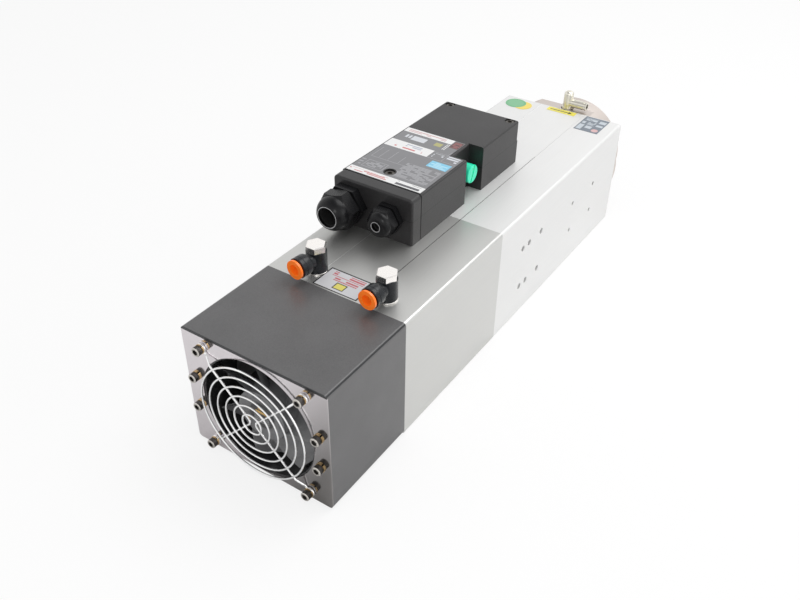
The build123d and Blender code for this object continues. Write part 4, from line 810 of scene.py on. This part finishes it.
# %% Turning a profile
def lathe(profile, centre, sides=64, radius_at=None):
    """Points of a profile of (y, radius) turned about a line along Y through centre (x, z).

    radius_at(rows, angle) may change the radius of the rows round the turn, for a hexagon or a
    knurl. A point is (x + radius * cos(angle), y, z + radius * sin(angle)).
    """
    profile = np.array(profile, float)
    angle = np.linspace(0, 2 * np.pi, sides, endpoint=False)
    radius = np.repeat(profile[:, 1:2], sides, 1)
    if radius_at is not None:
        radius = radius_at(radius, angle)
    across = centre[0] + radius * np.cos(angle)
    height = centre[1] + radius * np.sin(angle)
    return np.stack([across, np.repeat(profile[:, :1], sides, 1), height], -1)


def hexagon(angle, across_flats):
    """Distance from the centre to the edge of a hexagon in each direction."""
    sector = (angle + np.pi / 6) % (np.pi / 3) - np.pi / 6
    return across_flats / 2 / np.cos(sector)


# %% Knurled heads
head_height, head_radius, shank_radius, tip_radius = 5.0, 4.25, 2.5, 2.0
key_size, key_depth, top_edge = 4.6, 2.6, 3.7
knurl_depth, knurl_ridges, screw_sides = 0.14, 36, 144
socket_rows, top_rows, knurl_rows = slice(1, 3), slice(3, 5), slice(5, 7)


def socket_screw(seat, end, centre):
    """A screw pointing to the nose: from the floor of its socket, over the head, to its tip."""
    top = seat - head_height
    profile = [
        (top + key_depth, 0), (top + key_depth, key_size / 2), (top, key_size / 2),
        (top, top_edge), (top + 0.5, head_radius - 0.03), (top + 0.7, head_radius),
        (seat - 0.6, head_radius), (seat - 0.1, head_radius - 0.2), (seat, head_radius - 0.35),
        (seat, shank_radius), (end - 0.6, shank_radius), (end, tip_radius), (end, 0),
    ]

    def shape(radius, angle):
        radius = radius.copy()
        radius[socket_rows] = hexagon(angle, key_size)
        radius[knurl_rows] -= knurl_depth * (1 - np.abs(np.sin(angle * knurl_ridges / 2)))
        return radius

    return lathe(profile, centre, screw_sides, shape)


# %% Split washers
washer_thickness, gap_direction = 1.3, np.pi / 3


def split_washer(y, centre, inner=2.6, outer=4.5, gap=0.16, rise=0.12):
    """A square section swept from one side of a gap to the other, rising by rise on the way."""
    steps = 48
    angle = np.linspace(gap, 2 * np.pi - gap, steps)[:, None] + gap_direction
    radius = np.array([inner, outer, outer, inner])[None, :]
    section = np.array([rise, rise, washer_thickness, washer_thickness])[None, :]
    depth = section + np.linspace(-rise, 0, steps)[:, None]
    across = centre[0] + radius * np.cos(angle)
    return np.stack([across, y + depth, centre[1] + radius * np.sin(angle)], -1)


# %% [markdown]
# Eight screws hold the plate: four at the corners, over the guard's loops, and two on each side.
# Their heads are blackened, and the edges that a key touches are rubbed back to bright steel. That
# wear is a number on each point of the mesh, which the material reads as an attribute.

# %% Set the screws and washers
side_x, side_z = 65.0, 16.25
side_places = [(sx * side_x, fan_z + sz * side_z) for sx in (-1, 1) for sz in (-1, 1)]
corner_seat, corner_end = plate_y - 2 * arm_wire - washer_thickness, -238.0
side_seat, side_end = plate_y - washer_thickness, -266.0
screws = [socket_screw(corner_seat, corner_end, centre) for centre in corner_places]
screws += [socket_screw(side_seat, side_end, centre) for centre in side_places]
washers = [split_washer(corner_seat, centre) for centre in corner_places]
washers += [split_washer(side_seat, centre) for centre in side_places]

rubbed = np.zeros(screws[0].shape[:2])  # the last row of the socket is its mouth
rubbed[socket_rows.stop - 1], rubbed[top_rows] = 0.35, 1.0
worn_steel = Finish("worn_steel", metallic=1.0)
wear = worn_steel.node("ShaderNodeAttribute", {"attribute_name": "worn"}, {}, "Fac")
haze = worn_steel.noise(size=2 * mm, detail=3.0)
blackened, bright = (0.11, 0.105, 0.10), (0.72, 0.69, 0.64)
worn_steel.set(
    base_color=worn_steel.mix(wear * (0.7 + 0.3 * haze), blackened, bright),
    roughness=0.34 - 0.10 * wear + 0.08 * haze,
)
skin("knurled_screws", screws, worn_steel.material, "housing", ["plate_screws"],
     worn=[rubbed] * len(screws))
skin("split_washers", washers, gold_zinc, "housing", ["lock_washers"])

# %% [markdown]
# ## The fan's impeller
#
# Air meets a blade faster at its tip than at its root, so a good blade is twisted: steep at the
# hub, flat at the tip. Each blade is a closed wing section whose chord is wrapped round the hub's
# axis, so that its tip follows the bore.

# %% Twisted blades on a hub
hub_start, hub_length, hub_radius, blade_tip, blade_count = -277.0, 30.0, 25.0, 56.5, 7
root_sink, root_chord, chord_gain = 1.5, 29, 6
root_pitch, pitch_loss, sweep, camber_height = 46, 16, 0.22, 3.2
root_half, thinning, nose_weight, blade_shift = 1.15, 0.35, 0.35, 1.0


def blade(turn, rows=16, columns=28):
    """A wing section, thick at the nose and thin at the tail, carried out from the hub.

    On the way out its chord grows and its pitch flattens. Along the chord, lift = half thickness +
    camber, and the section is turned by the pitch before it is wrapped round the axis.
    """
    out = np.linspace(0, 1, rows)[:, None]
    round_section = np.linspace(0, 2 * np.pi, columns, endpoint=False)[None, :]
    radius = hub_radius - root_sink + (blade_tip - hub_radius + root_sink) * out
    chord, pitch = root_chord + chord_gain * out, np.radians(root_pitch - pitch_loss * out)
    along = 0.5 * np.cos(round_section)
    thick = (root_half - thinning * out) * np.sin(round_section)
    thick = thick * (1 - nose_weight * np.cos(round_section))
    lift = thick + camber_height * (1 - 4 * along**2)
    tangent = chord * along * np.cos(pitch) - lift * np.sin(pitch)
    axial = chord * along * np.sin(pitch) + lift * np.cos(pitch)
    angle = turn + sweep * out + tangent / radius
    y = hub_start + hub_length / 2 - blade_shift + axial
    return np.stack([radius * np.cos(angle), y + 0 * radius, fan_z + radius * np.sin(angle)], -1)


recess, recess_radius, pin_radius, pin_depth = 1.0, 14.0, 3.05, 14.0
hub_profile = [
    (recess, 0), (recess, recess_radius), (0.4, 15.0), (0, 17.0), (0, 22.5), (0.8, 24.3),
    (2.5, hub_radius), (hub_length, hub_radius), (hub_length, pin_radius),
    (pin_depth, pin_radius), (pin_depth, 0),
]
hub_profile = [(hub_start + depth, radius) for depth, radius in hub_profile]
impeller = [lathe(hub_profile, (0, fan_z), 72)]
impeller += [blade(2 * np.pi * k / blade_count) for k in range(blade_count)]
skin("impeller", impeller, blade_plastic, "fan", ["fan_rotor"], crease=40)

# %% [markdown]
# The hub carries a round film label. It is a thin turned disc, printed with a few generic bars.

# %% A label on the hub
film_back, film_front, film_radius = hub_start + recess - 0.02, hub_start + 0.7, 13.0
film = [
    (film_front, 0), (film_front, film_radius - 0.2), (film_front + 0.15, film_radius),
    (film_back, film_radius), (film_back, 0),
]
brass, film_black, film_grey = (0.80, 0.50, 0.14), (0.05, 0.05, 0.052), (0.35,) * 3
hub_blocks = [((-6, 64.5), (7.5, 67.0), brass), ((-3, 68.5), (5, 70.5), brass)]
hub_lines = [((-8, 54), (8, 61), 2.2, film_grey)]
hub_print = Finish("hub_print")
film_x, _, film_z = hub_print.axes()
inks = layers(hub_print, film_x, film_z, film_black, hub_blocks, hub_lines)
hub_print.set(base_color=inks, roughness=0.25 + 0.1 * hub_print.noise(size=3 * mm))
skin("hub_label", [lathe(film, (0, fan_z))], hub_print.material, "fan")

# %% [markdown]
# ## Air elbows
#
# A push-in elbow is two mouldings in one: an upright drum that turns on its hollow bolt, and a
# level arm with a wider barrel at its mouth for the gripping ring. Both are turned profiles. One is
# turned about Z and the other about a level line, which only means giving the lathe's three columns
# other directions. A thin plated ring stands under the drum and keeps its rubber seal round.


# %% Turning about other lines
def upright(profile, centre, sides=64):
    """A profile of (z, radius) turned about a vertical line through centre (x, y)."""
    return lathe(profile, centre, sides)[..., [0, 2, 1]]


def level(profile, centre, height, degrees, sides=64):
    """A profile of (distance, radius) turned about a level line that leaves centre (x, y).

    The line's direction is (cos, sin) of the angle, and the turned circle stands across it.
    """
    side, out, up = np.moveaxis(lathe(profile, (0, 0), sides), -1, 0)
    ahead, across = cos(radians(degrees)), sin(radians(degrees))
    x = centre[0] + out * ahead - side * across
    y = centre[1] + out * across + side * ahead
    return np.stack([x, y, height + up], -1)


# %% Drums, arms and foot rings
elbow_y, arm_height = -156.0, 141.0
drum_foot, drum_top, drum_radius, bolt_radius = 128.5, 149.0, 9.5, 6.0
drum = [
    (drum_foot, bolt_radius), (drum_foot, drum_radius - 0.4), (drum_foot + 0.4, drum_radius),
    (drum_top - 0.5, drum_radius), (drum_top, drum_radius - 0.5), (drum_top, bolt_radius),
    (drum_foot, bolt_radius),
]
arm_start, arm_end, tube_bore, neck = 7.6, 24.0, 5.15, 7.3
barrel, groove, collar_bore, collar_floor = 9.6, 9.3, 6.6, 15.5
arm = [
    (arm_start, tube_bore), (arm_start, neck), (11.6, neck), (12.6, 8.6), (13.4, 9.3),
    (14.2, barrel), (19.6, barrel), (19.9, groove), (20.5, groove), (20.8, barrel),
    (arm_end - 0.4, barrel), (arm_end, barrel - 0.4), (arm_end, collar_bore),
    (collar_floor, collar_bore), (collar_floor, tube_bore), (arm_start, tube_bore),
]
foot_low, foot_high, foot_bore, foot_edge = 127.05, 128.4, 8.05, 9.2
foot = [
    (foot_low, foot_bore), (foot_low, foot_edge), (127.4, drum_radius), (128.1, drum_radius),
    (foot_high, foot_edge), (foot_high, foot_bore), (foot_low, foot_bore),
]
foot_rings = []
for hand, elbow_x, degrees in (("left", -32.5, -96.0), ("right", 42.5, -93.0)):
    centre = (elbow_x, elbow_y)
    mouldings = [upright(drum, centre), level(arm, centre, arm_height, degrees)]
    skin(hand + "_elbow", mouldings, elbow_plastic, hand + "_elbow",
         [hand + "_elbow_body"])
    foot_rings.append(upright(foot, centre))
skin("foot_rings", foot_rings, nickel, "housing")

# %% [markdown]
# ## The spring stack
#
# Disc springs are shallow steel cones stacked nose to nose. The drawbar's nut squeezes the stack
# against a shoulder of the shaft when a tool is let go: its front end stays with the shaft and its
# rear end follows the drawbar. Here the stack is one mesh, attached to neither body.

# %% Coned discs between the nut and the shoulder
(_, stack_start, _), (_, stack_end, _) = (np.array(end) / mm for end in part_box("disc_springs"))
shaft_z, disc_count, disc_thickness, disc_gap = 63.5, 24, 1.75, 0.04
disc_bore, disc_rim = 8.15, 15.75
disc_pitch = (stack_end - stack_start + disc_gap * 2) / disc_count
cone_height = disc_pitch - disc_thickness - 2 * disc_gap


def coned_disc(number):
    """One disc of the stack: even ones lean forward at the rim and odd ones at the bore."""
    back = stack_start + disc_pitch * number
    bore_y, rim_y = (back + cone_height, back) if number % 2 else (back, back + cone_height)
    profile = [
        (bore_y, disc_bore), (rim_y, disc_rim), (rim_y + disc_thickness, disc_rim),
        (bore_y + disc_thickness, disc_bore), (bore_y, disc_bore),
    ]
    return lathe(profile, (0, shaft_z), 72)


discs = [coned_disc(number) for number in range(disc_count)]
stack = skin("spring_stack", discs, spring_steel, None, ["disc_springs"])
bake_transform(stack)

# %% [markdown]
# ## Floor
#
# The object stands on a pale table. A white floor that only reflects would need more light than the
# object can take, so it also shines a little, and only for rays that come straight from the camera.
# It keeps the object's shadow, because part of it is still an ordinary surface.

# %% Lay the floor
floor_half, own_shine = 60, 0.8
floor_finish = Finish("floor", (0.92, 0.92, 0.92), 0.9)
seen = floor_finish.node("ShaderNodeLightPath", {}, {}, "Is Camera Ray") * own_shine
shining = floor_finish.node("ShaderNodeEmission", {}, {"Strength": 1.0})
plain = Tone(floor_finish, floor_finish.shader.outputs[0])
surface = floor_finish.node("ShaderNodeMixShader", {}, {0: seen, 1: plain, 2: shining})
output = floor_finish.node_tree.nodes["Material Output"]
floor_finish.feed(output, "Surface", surface)

around = ((-1, -1), (1, -1), (1, 1), (-1, 1))
floor_corners = [(sx * floor_half, sy * floor_half, 0) for sx, sy in around]
floor_mesh = bpy.data.meshes.new("floor")
floor_mesh.from_pydata(floor_corners, [], [(0, 1, 2, 3)])
floor = bpy.data.objects.new("floor", floor_mesh)
bpy.context.scene.collection.objects.link(floor)
dress(floor, floor_finish.material)
print("floor side:", 2 * floor_half, "m")

# %% [markdown]
# ## Room
#
# The world is one soft light from everywhere. Seen by the camera and in reflections the room is
# white round the horizon and greyer overhead, as a ceiling is, and this doesn't light the object
# any more than before: a Mix Shader picks the brighter room only for those rays.

# %% Build the room
ambient_level, horizon, ceiling = 0.6, (0.62, (1, 1, 1)), (0.95, (0.28, 0.28, 0.29))
world = bpy.data.worlds.new("room")
bpy.context.scene.world = world
world.use_nodes = True
room = Tree(world.node_tree)
ambient = world.node_tree.nodes["Background"]
room.feed(ambient, "Color", (1, 1, 1))
room.feed(ambient, "Strength", ambient_level)
direction = room.node("ShaderNodeTexCoord", {}, {}, "Generated")
height = room.node("ShaderNodeSeparateXYZ", {}, {"Vector": direction}, "Z")
walls = room.node("ShaderNodeValToRGB", {"stops": (horizon, ceiling)}, {"Fac": height})
bright_room = room.node("ShaderNodeBackground", {}, {"Color": walls, "Strength": 1.0})
by_camera = room.node("ShaderNodeLightPath", {}, {}, "Is Camera Ray")
by_gloss = room.node("ShaderNodeLightPath", {}, {}, "Is Glossy Ray")
rooms = {0: either(by_camera, by_gloss), 1: Tone(room, ambient.outputs[0]), 2: bright_room}
choice = room.node("ShaderNodeMixShader", {}, rooms)
room.feed(world.node_tree.nodes["World Output"], "Surface", choice)
print("room light:", ambient_level)

# %% [markdown]
# ## Lamps
#
# Two large panels give the edges their shape, and a small flash beside the camera puts sparks on
# the gloss. Each lamp is turned by a direction: its Z axis points from its aim back to itself.

# %% Hang the lamps
lamps = {  # name: place, aim, size in metres, power in watts
    "key_panel": ((0.4, 0.7, 1.6), (0, 0, 0.1), 1.2, 15),
    "side_panel": ((1.7, 0.1, 0.7), (0, 0, 0.1), 1.0, 4),
    "flash": ((0.45, -0.95, 0.75), (0, -0.2, 0.1), 0.2, 1.4),
}
for name, (place, aim, size, watts) in lamps.items():
    lamp = bpy.data.objects.new(name, bpy.data.lights.new(name, "AREA"))
    lamp.data.size, lamp.data.energy = size, watts
    bpy.context.scene.collection.objects.link(lamp)
    turn = (Vector(place) - Vector(aim)).to_track_quat("Z", "Y")
    lamp.matrix_world = Matrix.Translation(place) @ turn.to_matrix().to_4x4()
bpy.context.scene.view_settings.view_transform = "Standard"
print("lamps:", ", ".join(lamps))
